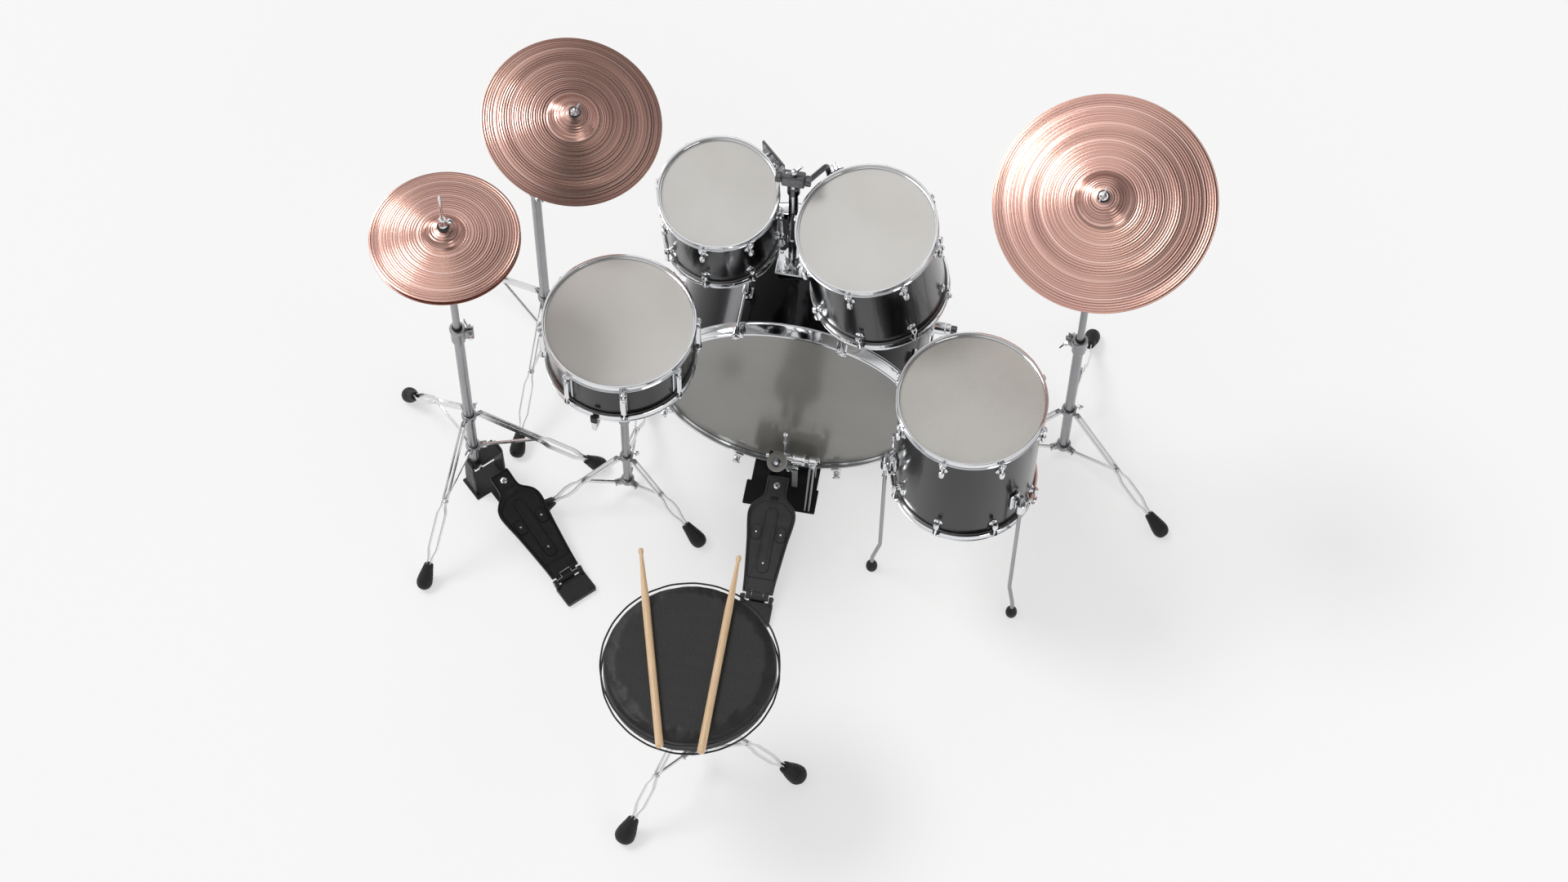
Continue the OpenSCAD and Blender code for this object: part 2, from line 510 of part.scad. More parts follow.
// ================= ride =================
rd_ang = [-35, 85, 205];
rk = 26; rzk = 190; rrb = 308; rzb = 13; rxj = 154; rrl = 26; rzl = 26;
ride_t = ride_c - 40 * ride_n; ride_a = [1, 0, 0];
module rst() { translate([rd[0], rd[1], 0]) children(); }
module ride_base_tube() {
  color(steel) rst() {
    translate([0, 0, 14]) tube(tube_r, 8.3, 480);
    clamp_collar(451, 506, tube_r, 8.3, 150);
    fork_ring(tube_r + 0.1, 14, rd_ang, rrl, rzl);
  }
}
module ride_collar() { color(steel) rst() leg_ring(tube_r + 0.3, 16, rd_ang, rk, rzk); }
module ride_leg(i) { color(steel) rst() rotz(rd_ang[i]) leg(rk, rzk, rrb, rzb, rxj); }
module ride_strut(i) { color(steel) rst() rotz(rd_ang[i]) strut(rk, rzk, rrb, rzb, rxj, rrl, rzl); }
module ride_upper_tube() {
  color(steel) {
    translate([rd[0], rd[1], 300]) cylinder(r = post_r, h = 698);
    bar([rd[0] - 3, rd[1], 992], ride_t - 15.5 * ride_a, 5);
    tilt_disc(ride_t, ride_a);
  }
}
module ride_tilter() { color(chrome) cym_rod(ride_c, ride_n, ride_a, 40, 48, 50); }
module ride_cymbal() { color(bronze) aim(ride_c, ride_n) cymbal(ride_r, 24, 62, 26, 6.5); }

// ================= throne and sticks =================
th_ang = [1.2, 121.2, 241.2];
module throne_tripod() {
  color(steel) translate([th[0], th[1], 0]) {
    tripod(th_ang, 30, 255, 236, 15, 140, 28, 90, 1.5, 14);
    translate([0, 0, 76]) tube(14, 11.3, 254);
    clamp_collar(286, 340, 14, 11.3, 60);
  }
}
module throne_post() {
  color(steel) translate([th[0], th[1], 0]) translate([0, 0, 180]) cylinder(r = 11, h = seat_z - seat_t - 14 - 180);
}
module throne_cushion() {
  color("#151515") translate([th[0], th[1], 0]) {
    translate([0, 0, seat_z - seat_t]) rotate_extrude($fn = 96) polygon([[0, 0], [seat_r - 6, 0], [seat_r - 1, 3], [seat_r, 8], [seat_r, seat_t - 20],
      [seat_r - 2, seat_t - 12], [seat_r - 8, seat_t - 5], [seat_r - 18, seat_t], [0, seat_t]]);
    translate([0, 0, seat_z - seat_t - 13.7]) cylinder(r = 60, h = 13.6);
  }
}
module stick(tip, butt) {
  d = unit(butt - tip);
  color("#e3bd8c") aim(tip, d) rotate_extrude() polygon([[0, 0], [3, 0.8], [5.2, 4], [5.8, 8], [5.2, 12], [4, 16], [4.2, 22], [stick_r * 0.72, 70],
    [stick_r, 125], [stick_r, stick_len - 6], [stick_r - 2.5, stick_len - 1.2], [stick_r - 5, stick_len], [0, stick_len]]);
}
module drumstick_left() { t = [-226.5, -530, seat_z + 0.4 + stick_r]; stick(t, t + [131, -454, 0]); }
module drumstick_right() { t = [-18.8, -510, seat_z + 0.4 + stick_r]; stick(t, t + [5, -474, 0]); }

bass_shell();
bass_heads();
bass_hoops();
bass_hardware();
spur(-1);  // bass_spur_left
spur(1);  // bass_spur_right
tom_small_shell();
tom_small_heads();
tom_small_hoops();
tom_small_lugs();
tom_large_shell();
tom_large_heads();
tom_large_hoops();
tom_large_lugs();
floor_tom_shell();
floor_tom_heads();
floor_tom_hoops();
floor_tom_lugs();
floor_leg(leg_ang[0]);  // floor_tom_leg_a
floor_leg(leg_ang[1]);  // floor_tom_leg_b
floor_leg(leg_ang[2]);  // floor_tom_leg_c
snare_shell();
snare_heads();
snare_hoops();
snare_lugs();
snare_stand_tripod();
snare_stand_basket();
tom_post();
tom_holder_left();
tom_holder_right();
kick_frame();
kick_footboard();
kick_beater();
hihat_tripod();
hihat_upper_tube();
hihat_pull_rod();
hihat_top_cymbal();
hihat_bottom_cymbal();
hihat_pedal_frame();
hihat_footboard();
crash_tripod();
crash_upper_tube();
crash_tilter();
crash_cymbal();
ride_base_tube();
ride_collar();
ride_leg(0);  // ride_leg_a
ride_leg(1);  // ride_leg_b
ride_leg(2);  // ride_leg_c
ride_strut(0);  // ride_strut_a
ride_strut(1);  // ride_strut_b
ride_strut(2);  // ride_strut_c
ride_upper_tube();
ride_tilter();
ride_cymbal();
throne_cushion();
throne_post();
throne_tripod();
drumstick_left();
drumstick_right();
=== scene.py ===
import bpy, bmesh, math
from mathutils import Vector, Matrix


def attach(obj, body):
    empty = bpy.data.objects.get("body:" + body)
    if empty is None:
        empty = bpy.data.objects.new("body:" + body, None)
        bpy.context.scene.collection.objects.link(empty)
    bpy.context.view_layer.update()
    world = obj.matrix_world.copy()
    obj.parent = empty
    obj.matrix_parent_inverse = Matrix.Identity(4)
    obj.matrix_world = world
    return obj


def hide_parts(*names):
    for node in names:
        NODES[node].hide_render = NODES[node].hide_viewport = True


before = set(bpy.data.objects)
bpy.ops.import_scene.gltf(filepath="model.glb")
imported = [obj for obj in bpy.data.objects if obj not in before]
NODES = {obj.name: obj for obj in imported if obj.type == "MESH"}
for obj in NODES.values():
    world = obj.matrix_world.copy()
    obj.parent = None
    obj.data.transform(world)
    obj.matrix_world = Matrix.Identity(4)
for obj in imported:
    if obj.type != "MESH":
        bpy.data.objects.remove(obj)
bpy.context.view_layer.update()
MM = 0.001

# ------------------------------------------------------------------ camera
cam = bpy.data.objects.new("camera", bpy.data.cameras.new("camera"))
bpy.context.scene.collection.objects.link(cam)
R_ = Vector((0.98426, 0.17651, 0.00916)); U_ = Vector((-0.15943, 0.86427, 0.47711)); Fw = Vector((-0.0763, 0.4711, -0.8788))
rot = Matrix((R_, U_, -Fw)).transposed()
cam.matrix_world = Matrix.Translation((0.6242, -3.9198, 7.4362)) @ rot.to_4x4()
cam.data.lens = 84.15; cam.data.sensor_width = 36.0; cam.data.clip_end = 60
bpy.context.scene.camera = cam

# ------------------------------------------------------------------ lights and floor
def area(name, loc, aim, size, power, col=(1, 1, 1)):
    d = bpy.data.lights.new(name, "AREA"); d.shape = "RECTANGLE"; d.size, d.size_y = size; d.energy = power; d.color = col
    o = bpy.data.objects.new(name, d); bpy.context.scene.collection.objects.link(o)
    o.location = loc; o.rotation_euler = (Vector(aim) - Vector(loc)).to_track_quat("-Z", "Y").to_euler()
    return o
sd_ = bpy.data.lights.new("sun", "SUN"); sd_.energy = 0.95; sd_.angle = math.radians(20); so = bpy.data.objects.new("sun", sd_); bpy.context.scene.collection.objects.link(so)
so.rotation_euler = Vector((0.52, -0.10, -0.85)).to_track_quat("-Z", "Y").to_euler()
area("key", (-3.4, 0.6, 5.6), (-0.1, -0.1, 0.4), (1.6, 2.2), 14).visible_glossy = False
area("fill", (4.4, -4.4, 3.4), (0.1, 0, 0.4), (2.6, 1.6), 40)
area("strip", (-3.0, 2.0, 2.7), (-0.1, 0.16, 0.6), (0.7, 2.4), 40).visible_diffuse = False

w = bpy.data.worlds.new("studio"); bpy.context.scene.world = w; w.use_nodes = True
nt = w.node_tree; bg = nt.nodes["Background"]
tc = nt.nodes.new("ShaderNodeTexCoord"); sep = nt.nodes.new("ShaderNodeSeparateXYZ"); nt.links.new(tc.outputs["Generated"], sep.inputs[0])
def wmath(op, a, b=None):
    m = nt.nodes.new("ShaderNodeMath"); m.operation = op
    for i, v in enumerate((a, b)):
        if v is None: continue
        if isinstance(v, (int, float)): m.inputs[i].default_value = v
        else: nt.links.new(v, m.inputs[i])
    return m.outputs[0]
def wstep(v, lo, hi, a, b):
    m = nt.nodes.new("ShaderNodeMapRange"); m.interpolation_type = "SMOOTHSTEP"
    for k, x in (("From Min", lo), ("From Max", hi), ("To Min", a), ("To Max", b)): m.inputs[k].default_value = x
    nt.links.new(v, m.inputs["Value"]); return m.outputs["Result"]
X_, Y_, Z_ = sep.outputs
ramp = nt.nodes.new("ShaderNodeValToRGB")
mr = nt.nodes.new("ShaderNodeMapRange"); mr.inputs["From Min"].default_value = -0.2; mr.inputs["From Max"].default_value = 1.0
nt.links.new(Z_, mr.inputs["Value"]); nt.links.new(mr.outputs["Result"], ramp.inputs["Fac"])
el = ramp.color_ramp.elements
el[0].position = 0.0; el[0].color = (0.9, 0.9, 0.9, 1)
el[1].position = 1.0; el[1].color = (1.0, 1.0, 1.0, 1)
for p, c in ((0.22, 0.75), (0.40, 0.30), (0.62, 0.36), (0.80, 0.80)):
    e = el.new(p); e.color = (c, c, c, 1)
# dark quarter high on the right, and a dark band straight ahead of the toms
side = wstep(X_, -0.12, 0.22, 1.0, 0.10)
high = wstep(Z_, 0.62, 0.80, 0.0, 1.0)
dark = wmath("ADD", wmath("MULTIPLY", side, high), wmath("SUBTRACT", 1.0, high))
lift = wstep(X_, 0.46, 0.62, 0.0, 0.9)
k1 = wmath("MAXIMUM", dark, lift)
mul = nt.nodes.new("ShaderNodeMix"); mul.data_type = "RGBA"; mul.blend_type = "MULTIPLY"; mul.inputs[0].default_value = 1.0
nt.links.new(ramp.outputs["Color"], mul.inputs[6]); nt.links.new(k1, mul.inputs[7])
nt.links.new(mul.outputs[2], bg.inputs["Color"]); bg.inputs["Strength"].default_value = 1.05

# ------------------------------------------------------------------ material helpers
def new_mat(name, color, metallic=0.0, rough=0.5, **kw):
    m = bpy.data.materials.new(name); m.use_nodes = True; nt = m.node_tree; b = nt.nodes["Principled BSDF"]
    b.inputs["Base Color"].default_value = (*color, 1); b.inputs["Metallic"].default_value = metallic; b.inputs["Roughness"].default_value = rough
    for k, v in kw.items(): b.inputs[k.replace("_", " ")].default_value = v
    return m, nt, b
def N(nt, kind, **kw):
    n = nt.nodes.new("ShaderNode" + kind)
    for k, v in kw.items():
        if hasattr(n, k): setattr(n, k, v)
        else: n.inputs[k].default_value = v
    return n
def objco(nt, scale=(1, 1, 1)):
    t = N(nt, "TexCoord"); mp = N(nt, "Mapping"); mp.inputs["Scale"].default_value = scale
    nt.links.new(t.outputs["Object"], mp.inputs["Vector"]); return mp.outputs["Vector"]
def noise(nt, vec, scale, detail=4, rough=0.55, dim="3D"):
    n = N(nt, "TexNoise"); n.noise_dimensions = dim; n.inputs["Scale"].default_value = scale; n.inputs["Detail"].default_value = detail; n.inputs["Roughness"].default_value = rough
    if vec is not None: nt.links.new(vec, n.inputs["W" if dim == "1D" else "Vector"])
    return n.outputs["Fac"]
def mix(nt, fac, a, b):
    m = N(nt, "Mix"); m.data_type = "RGBA"
    nt.links.new(fac, m.inputs[0])
    for i, c in ((6, a), (7, b)):
        if isinstance(c, tuple): m.inputs[i].default_value = (*c, 1)
        else: nt.links.new(c, m.inputs[i])
    return m.outputs[2]
def remap(nt, v, lo, hi, a, b):
    m = N(nt, "MapRange"); m.inputs["From Min"].default_value = lo; m.inputs["From Max"].default_value = hi; m.inputs["To Min"].default_value = a; m.inputs["To Max"].default_value = b
    nt.links.new(v, m.inputs["Value"]); return m.outputs["Result"]
def bump(nt, b, h, strength, dist, prev=None):
    n = N(nt, "Bump"); n.inputs["Strength"].default_value = strength; n.inputs["Distance"].default_value = dist
    nt.links.new(h, n.inputs["Height"])
    if prev is not None: nt.links.new(prev, n.inputs["Normal"])
    nt.links.new(n.outputs["Normal"], b.inputs["Normal"]); return n.outputs["Normal"]
def math2(nt, op, a, b=None):
    m = N(nt, "Math"); m.operation = op
    for i, v in enumerate((a, b)):
        if v is None: continue
        if isinstance(v, (int, float)): m.inputs[i].default_value = v
        else: nt.links.new(v, m.inputs[i])
    return m.outputs[0]
def polar(nt):
    """radius and angle about the piece's own Z axis"""
    t = N(nt, "TexCoord"); s = N(nt, "SeparateXYZ"); nt.links.new(t.outputs["Object"], s.inputs[0])
    r = math2(nt, "SQRT", math2(nt, "ADD", math2(nt, "MULTIPLY", s.outputs["X"], s.outputs["X"]), math2(nt, "MULTIPLY", s.outputs["Y"], s.outputs["Y"])))
    return r, math2(nt, "ARCTAN2", s.outputs["Y"], s.outputs["X"]), s.outputs["Z"]

def m_chrome(name="chrome", col=(0.82, 0.83, 0.85), rough=0.09):
    m, nt, b = new_mat(name, col, 1.0, rough)
    c = objco(nt); f = noise(nt, c, 90, 3); g = noise(nt, c, 14, 3)
    nt.links.new(remap(nt, f, 0.3, 0.7, rough * 0.75, rough * 1.6), b.inputs["Roughness"])
    nt.links.new(mix(nt, g, tuple(x * 0.93 for x in col), col), b.inputs["Base Color"])
    bump(nt, b, noise(nt, c, 260, 2), 0.05, 0.0004); return m
def m_satin(name="satin_tube"):
    m, nt, b = new_mat(name, (0.34, 0.345, 0.355), 1.0, 0.34)
    c = objco(nt, (1, 1, 0.06)); f = noise(nt, c, 420, 3)
    nt.links.new(remap(nt, f, 0.3, 0.7, 0.25, 0.42), b.inputs["Roughness"])
    nt.links.new(mix(nt, noise(nt, objco(nt), 9, 3), (0.30, 0.305, 0.315), (0.39, 0.39, 0.40)), b.inputs["Base Color"])
    bump(nt, b, f, 0.12, 0.0004); return m
def m_strip(name="leg_steel"):
    m, nt, b = new_mat(name, (0.74, 0.74, 0.75), 1.0, 0.16)
    c = objco(nt); f = noise(nt, c, 160, 4)
    nt.links.new(remap(nt, f, 0.3, 0.7, 0.15, 0.3), b.inputs["Roughness"])
    nt.links.new(mix(nt, noise(nt, c, 20, 3), (0.68, 0.685, 0.69), (0.80, 0.80, 0.81)), b.inputs["Base Color"])
    bump(nt, b, f, 0.08, 0.0004); return m
def m_shell(name="shell"):
    # black brushed metal wrap: fine hair lines run along the shell, roughness changes with them
    m, nt, b = new_mat(name, (0.02, 0.02, 0.022), 0.85, 0.27)
    r, a, z = polar(nt)
    cmb = N(nt, "CombineXYZ"); nt.links.new(math2(nt, "MULTIPLY", a, 26.0), cmb.inputs["X"]); nt.links.new(math2(nt, "MULTIPLY", z, 3.5), cmb.inputs["Y"])
    hair = noise(nt, cmb.outputs[0], 9.0, 6, 0.7)
    cmb2 = N(nt, "CombineXYZ"); nt.links.new(math2(nt, "MULTIPLY", a, 3.0), cmb2.inputs["X"]); nt.links.new(math2(nt, "MULTIPLY", z, 1.2), cmb2.inputs["Y"])
    broad = noise(nt, cmb2.outputs[0], 2.2, 3)
    nt.links.new(remap(nt, hair, 0.3, 0.7, 0.12, 0.26), b.inputs["Roughness"])
    col = mix(nt, hair, (0.006, 0.006, 0.007), (0.030, 0.030, 0.033))
    nt.links.new(mix(nt, broad, col, (0.014, 0.014, 0.016)), b.inputs["Base Color"])
    bump(nt, b, hair, 0.16, 0.0005)
    b.inputs["Coat Weight"].default_value = 0.25; b.inputs["Coat Roughness"].default_value = 0.08
    return m
def m_head(name, col, dark, rough=0.38, coat=0.15):
    m, nt, b = new_mat(name, col, 0.0, rough)
    c = objco(nt); g = noise(nt, c, 4.0, 3); f = noise(nt, c, 900, 2)
    nt.links.new(mix(nt, remap(nt, g, 0.35, 0.65, 0.0, 1.0), dark, col), b.inputs["Base Color"])
    nt.links.new(remap(nt, noise(nt, c, 30, 4), 0.3, 0.7, rough * 0.85, rough * 1.2), b.inputs["Roughness"])
    bump(nt, b, f, 0.10, 0.0003)
    b.inputs["Coat Weight"].default_value = coat; b.inputs["Coat Roughness"].default_value = 0.22
    return m
def m_bronze(name="bronze"):
    # lathed rose bronze: fine turning marks, groups of deeper rings, tone that changes from band to band
    m, nt, b = new_mat(name, (0.62, 0.36, 0.30), 1.0, 0.3)
    r, a, z = polar(nt)
    fine = math2(nt, "SINE", math2(nt, "MULTIPLY", r, 2 * math.pi / 0.0030))
    mid = math2(nt, "SINE", math2(nt, "MULTIPLY", r, 2 * math.pi / 0.0050))
    grp = remap(nt, noise(nt, r, 30, 1, 0.4, "1D"), 0.44, 0.58, 0.0, 1.0)      # where the deep groups sit
    deep = math2(nt, "MULTIPLY", grp, math2(nt, "SINE", math2(nt, "MULTIPLY", r, 2 * math.pi / 0.0058)))
    rings = noise(nt, r, 190, 3, 0.6, "1D")
    line = math2(nt, "POWER", math2(nt, "ABSOLUTE", math2(nt, "SINE", math2(nt, "MULTIPLY", r, math.pi / 0.037))), 60)  # single bright cut lines
    h = math2(nt, "ADD", math2(nt, "ADD", math2(nt, "MULTIPLY", fine, 0.10), math2(nt, "MULTIPLY", mid, 0.34)),
              math2(nt, "ADD", math2(nt, "MULTIPLY", deep, 0.42), math2(nt, "ADD", math2(nt, "MULTIPLY", rings, 0.28), math2(nt, "MULTIPLY", line, -0.5))))
    c1 = mix(nt, remap(nt, rings, 0.35, 0.65, 0.0, 1.0), (0.60, 0.345, 0.30), (0.70, 0.425, 0.375))
    c2 = mix(nt, remap(nt, deep, -1.0, 1.0, 0.0, 1.0), (0.54, 0.30, 0.255), c1)
    c3 = mix(nt, remap(nt, noise(nt, objco(nt), 5, 3), 0.35, 0.65, 0.0, 0.4), c2, (0.68, 0.44, 0.34))
    c4 = mix(nt, remap(nt, line, 0.2, 1.0, 0.0, 0.8), c3, (0.82, 0.56, 0.50))
    nt.links.new(c4, b.inputs["Base Color"])
    nt.links.new(remap(nt, rings, 0.3, 0.7, 0.20, 0.27), b.inputs["Roughness"])
    bump(nt, b, h, 0.5, 0.0010)
    return m
def m_black(name="black_metal", rough=0.40, col=(0.007, 0.007, 0.008), spec=0.35):
    m, nt, b = new_mat(name, col, 0.0, rough)
    c = objco(nt); f = noise(nt, c, 420, 4)
    nt.links.new(remap(nt, noise(nt, c, 60, 4), 0.3, 0.7, rough * 0.8, rough * 1.25), b.inputs["Roughness"])
    nt.links.new(mix(nt, noise(nt, c, 25, 4), tuple(x * 0.75 for x in col), tuple(x * 1.5 for x in col)), b.inputs["Base Color"])
    bump(nt, b, f, 0.3, 0.0005); b.inputs["Specular IOR Level"].default_value = spec; return m
def m_rubber(name="rubber"): return m_black(name, 0.55, (0.012, 0.012, 0.0125), 0.35)
def m_wood(name="maple"):
    m, nt, b = new_mat(name, (0.8, 0.58, 0.36), 0.0, 0.42)
    c = objco(nt, (60, 60, 3.0)); g = noise(nt, c, 3.0, 6, 0.65); fl = noise(nt, objco(nt, (500, 500, 40)), 1.0, 2)
    c1 = mix(nt, remap(nt, g, 0.35, 0.65, 0, 1), (0.86, 0.63, 0.40), (0.70, 0.47, 0.27))
    nt.links.new(mix(nt, remap(nt, fl, 0.60, 0.72, 0, 0.55), c1, (0.50, 0.30, 0.16)), b.inputs["Base Color"])
    nt.links.new(remap(nt, g, 0.3, 0.7, 0.36, 0.5), b.inputs["Roughness"])
    bump(nt, b, g, 0.12, 0.0004); b.inputs["Coat Weight"].default_value = 0.2; b.inputs["Coat Roughness"].default_value = 0.25; return m
def m_leather(name="seat_leather"):
    m, nt, b = new_mat(name, (0.010, 0.010, 0.011), 0.0, 0.5)
    c = objco(nt); v = N(nt, "TexVoronoi"); v.inputs["Scale"].default_value = 330; nt.links.new(c, v.inputs["Vector"])
    cr = noise(nt, objco(nt, (1, 3.2, 1)), 16, 6, 0.62); f = noise(nt, c, 700, 3)
    h = math2(nt, "ADD", math2(nt, "MULTIPLY", v.outputs["Distance"], 0.7), math2(nt, "ADD", math2(nt, "MULTIPLY", cr, 1.1), math2(nt, "MULTIPLY", f, 0.4)))
    nt.links.new(mix(nt, cr, (0.006, 0.006, 0.0065), (0.017, 0.0165, 0.0165)), b.inputs["Base Color"])
    nt.links.new(remap(nt, f, 0.3, 0.7, 0.44, 0.6), b.inputs["Roughness"])
    bump(nt, b, h, 0.42, 0.0009); return m
def m_felt(name="felt", col=(0.03, 0.03, 0.03)):
    m, nt, b = new_mat(name, col, 0.0, 0.92)
    c = objco(nt); f = noise(nt, c, 600, 6, 0.75)
    nt.links.new(mix(nt, f, tuple(x * 0.6 for x in col), tuple(x * 1.5 for x in col)), b.inputs["Base Color"])
    bump(nt, b, f, 0.6, 0.0012); b.inputs["Sheen Weight"].default_value = 0.3; return m

CH, SAT, STP, SHL = m_chrome(), m_satin(), m_strip(), m_shell()
HEAD, BHEAD = m_head("drum_head", (0.66, 0.645, 0.615), (0.61, 0.59, 0.56)), m_head("bass_head", (0.25, 0.245, 0.225), (0.22, 0.215, 0.195), 0.14, 0.7)
FHEAD = m_head("floor_head", (0.56, 0.545, 0.51), (0.50, 0.485, 0.455), 0.26, 0.35)
BRZ, BLK, RUB, MPL, LEA, FLT = m_bronze(), m_black(), m_rubber(), m_wood(), m_leather(), m_felt()
LFLT = m_felt("light_felt", (0.24, 0.235, 0.22)); DCH = m_chrome("dark_chrome", (0.16, 0.16, 0.17), 0.2)
GRY = m_black("grey_metal", 0.36, (0.032, 0.032, 0.034), 0.5); STR = m_black("strap", 0.5, (0.26, 0.26, 0.26), 0.4)
MATS = [CH, SAT, STP, RUB, BLK, FLT, DCH, SHL, BHEAD, HEAD, LFLT, GRY, STR]
iCH, iSAT, iSTP, iRUB, iBLK, iFLT, iDCH, iSHL, iBHD, iHD, iLF, iGRY, iSTR = range(13)

# ------------------------------------------------------------------ mesh builder (millimetres in, metres out)
def T(x, y, z): return Matrix.Translation((x, y, z))
def RX(a): return Matrix.Rotation(math.radians(a), 4, "X")
def RY(a): return Matrix.Rotation(math.radians(a), 4, "Y")
def RZ(a): return Matrix.Rotation(math.radians(a), 4, "Z")
def AIM(p, n): return Matrix.Translation(p) @ Vector((0, 0, 1)).rotation_difference(Vector(n).normalized()).to_matrix().to_4x4()
MIR = Matrix.Scale(-1, 4, (0, 0, 1))
class B:
    def __init__(s): s.v, s.f, s.m, s.st = [], [], [], [Matrix()]
    def push(s, *ms):
        M = s.st[-1]
        for x in ms: M = M @ x
        s.st.append(M); return s
    def pop(s): s.st.pop()
    def add(s, v, f, m):
        o = len(s.v); t = s.st[-1]
        s.v += [t @ Vector(p) for p in v]; s.f += [tuple(i + o for i in q) for q in f]; s.m += [m] * len(f)
    def lathe(s, prof, m=0, n=48, closed=False):
        v, rings = [], []
        for r, z in prof:
            if r < 1e-6: rings.append([len(v)]); v.append((0, 0, z))
            else:
                rings.append(list(range(len(v), len(v) + n)))
                v += [(r * math.cos(2 * math.pi * i / n), r * math.sin(2 * math.pi * i / n), z) for i in range(n)]
        f = []; pairs = list(zip(rings, rings[1:])) + ([(rings[-1], rings[0])] if closed else [])
        for a, b in pairs:
            for i in range(n):
                j = (i + 1) % n
                if len(a) == 1 and len(b) == 1: continue
                if len(a) == 1: f.append((a[0], b[i], b[j]))
                elif len(b) == 1: f.append((a[j], a[i], b[0]))
                else: f.append((a[i], b[i], b[j], a[j]))
        s.add(v, f, m)
    def cyl(s, r, z0, z1, m=0, n=32, c=0.6):
        c = min(c, r * 0.4, (z1 - z0) * 0.4)
        s.lathe([(0, z0), (r - c, z0), (r, z0 + c), (r, z1 - c), (r - c, z1), (0, z1)], m, n)
    def ring(s, ro, ri, z0, z1, m=0, n=48, c=0.5):
        s.lathe([(ri, z0 + c), (ri + c, z0), (ro - c, z0), (ro, z0 + c), (ro, z1 - c), (ro - c, z1), (ri + c, z1), (ri, z1 - c)], m, n, True)
    def box(s, lo, hi, m=0, c=0.8):
        x0, y0, z0 = lo; x1, y1, z1 = hi; c = min(c, (x1 - x0) * .3, (y1 - y0) * .3, (z1 - z0) * .3)
        s.prism([(x0 + c, y0), (x1 - c, y0), (x1, y0 + c), (x1, y1 - c), (x1 - c, y1), (x0 + c, y1), (x0, y1 - c), (x0, y0 + c)], z0, z1, m, c)
    def prism(s, poly, z0, z1, m=0, c=0.6):
        # polygon extruded with small chamfers top and bottom
        n = len(poly); c = min(c, (z1 - z0) * 0.35)
        ar = sum(poly[i][0] * poly[(i + 1) % n][1] - poly[(i + 1) % n][0] * poly[i][1] for i in range(n))
        if ar < 0: poly = poly[::-1]
        ins = []
        for i in range(n):
            p, q, r = Vector(poly[i - 1]), Vector(poly[i]), Vector(poly[(i + 1) % n])
            a, b = (q - p).normalized(), (r - q).normalized()
            na, nb = Vector((-a.y, a.x)), Vector((-b.y, b.x)); k = max(0.35, 1 + na.dot(nb))
            ins.append(q + (na + nb) * c / k)
        v = [(p.x, p.y, z0) for p in ins] + [(x, y, z0 + c) for x, y in poly] + [(x, y, z1 - c) for x, y in poly] + [(p.x, p.y, z1) for p in ins]
        f = [tuple(range(n - 1, -1, -1)), tuple(range(3 * n, 4 * n))]
        for L in range(3):
            for i in range(n):
                j = (i + 1) % n; f.append((L * n + i, L * n + j, (L + 1) * n + j, (L + 1) * n + i))
        s.add(v, f, m)
    def tube(s, pts, r, m=0, n=16, cap=True):
        pts = [Vector(p) for p in pts]; rs = r if isinstance(r, list) else [r] * len(pts)
        tan = [(pts[min(i + 1, len(pts) - 1)] - pts[max(i - 1, 0)]).normalized() for i in range(len(pts))]
        x = tan[0].orthogonal().normalized(); v = []
        for i, p in enumerate(pts):
            x = (x - tan[i] * x.dot(tan[i])).normalized(); y = tan[i].cross(x)
            v += [p + (x * math.cos(2 * math.pi * k / n) + y * math.sin(2 * math.pi * k / n)) * rs[i] for k in range(n)]
        f = [(i * n + k, i * n + (k + 1) % n, (i + 1) * n + (k + 1) % n, (i + 1) * n + k) for i in range(len(pts) - 1) for k in range(n)]
        if cap: f += [tuple(range(n - 1, -1, -1)), tuple(range((len(pts) - 1) * n, len(pts) * n))]
        s.add(v, f, m)
    def bar(s, p, q, r, m=0, n=24):
        d = Vector(q) - Vector(p); s.push(AIM(p, d)); s.cyl(r, 0, d.length, m, n, 0.5); s.pop()
    def wing(s, m=0, w=17, h=12, t=3.2):
        # wing nut: hub with two rounded ears, along local X, standing on z = 0
        s.lathe([(0, 0), (6.5, 0), (7, 1.5), (5.2, 6), (4.6, 8.5), (3.5, 9), (0, 9)], m, 32)
        for k in (1, -1):
            s.push(RX(90), T(0, 0, -t / 2))
            s.prism([(k * 3, 1), (k * 8, 0.5), (k * 12, 3), (k * w, 9), (k * (w - 0.5), h), (k * (w - 4), h + 0.5), (k * 8, 8), (k * 3, 7)], 0, t, m, 0.8)
            s.pop()
    def done(s, name, body, rep=(), mats=None, place=None, angle=32):
        me = bpy.data.meshes.new(name); P = place or Matrix()
        me.from_pydata([v * MM for v in s.v], [], s.f)
        bm = bmesh.new(); bm.from_mesh(me); bmesh.ops.recalc_face_normals(bm, faces=bm.faces)
        bm.to_mesh(me); bm.free()
        used = mats or MATS
        for mt in used: me.materials.append(mt)
        me.polygons.foreach_set("material_index", s.m)
        me.polygons.foreach_set("use_smooth", [True] * len(me.polygons))
        me.set_sharp_from_angle(angle=math.radians(angle)); me.update()
        o = bpy.data.objects.new(name, me); bpy.context.scene.collection.objects.link(o)
        if mats is None:
            keep = sorted(set(s.m)); me.materials.clear()
            for k in keep: me.materials.append(MATS[k])
            me.polygons.foreach_set("material_index", [keep.index(k) for k in s.m])
        P = P.copy(); P.translation = P.translation * MM
        o.matrix_world = P
        bpy.context.view_layer.update()
        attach(o, body)
        if rep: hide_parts(*rep)
        return o

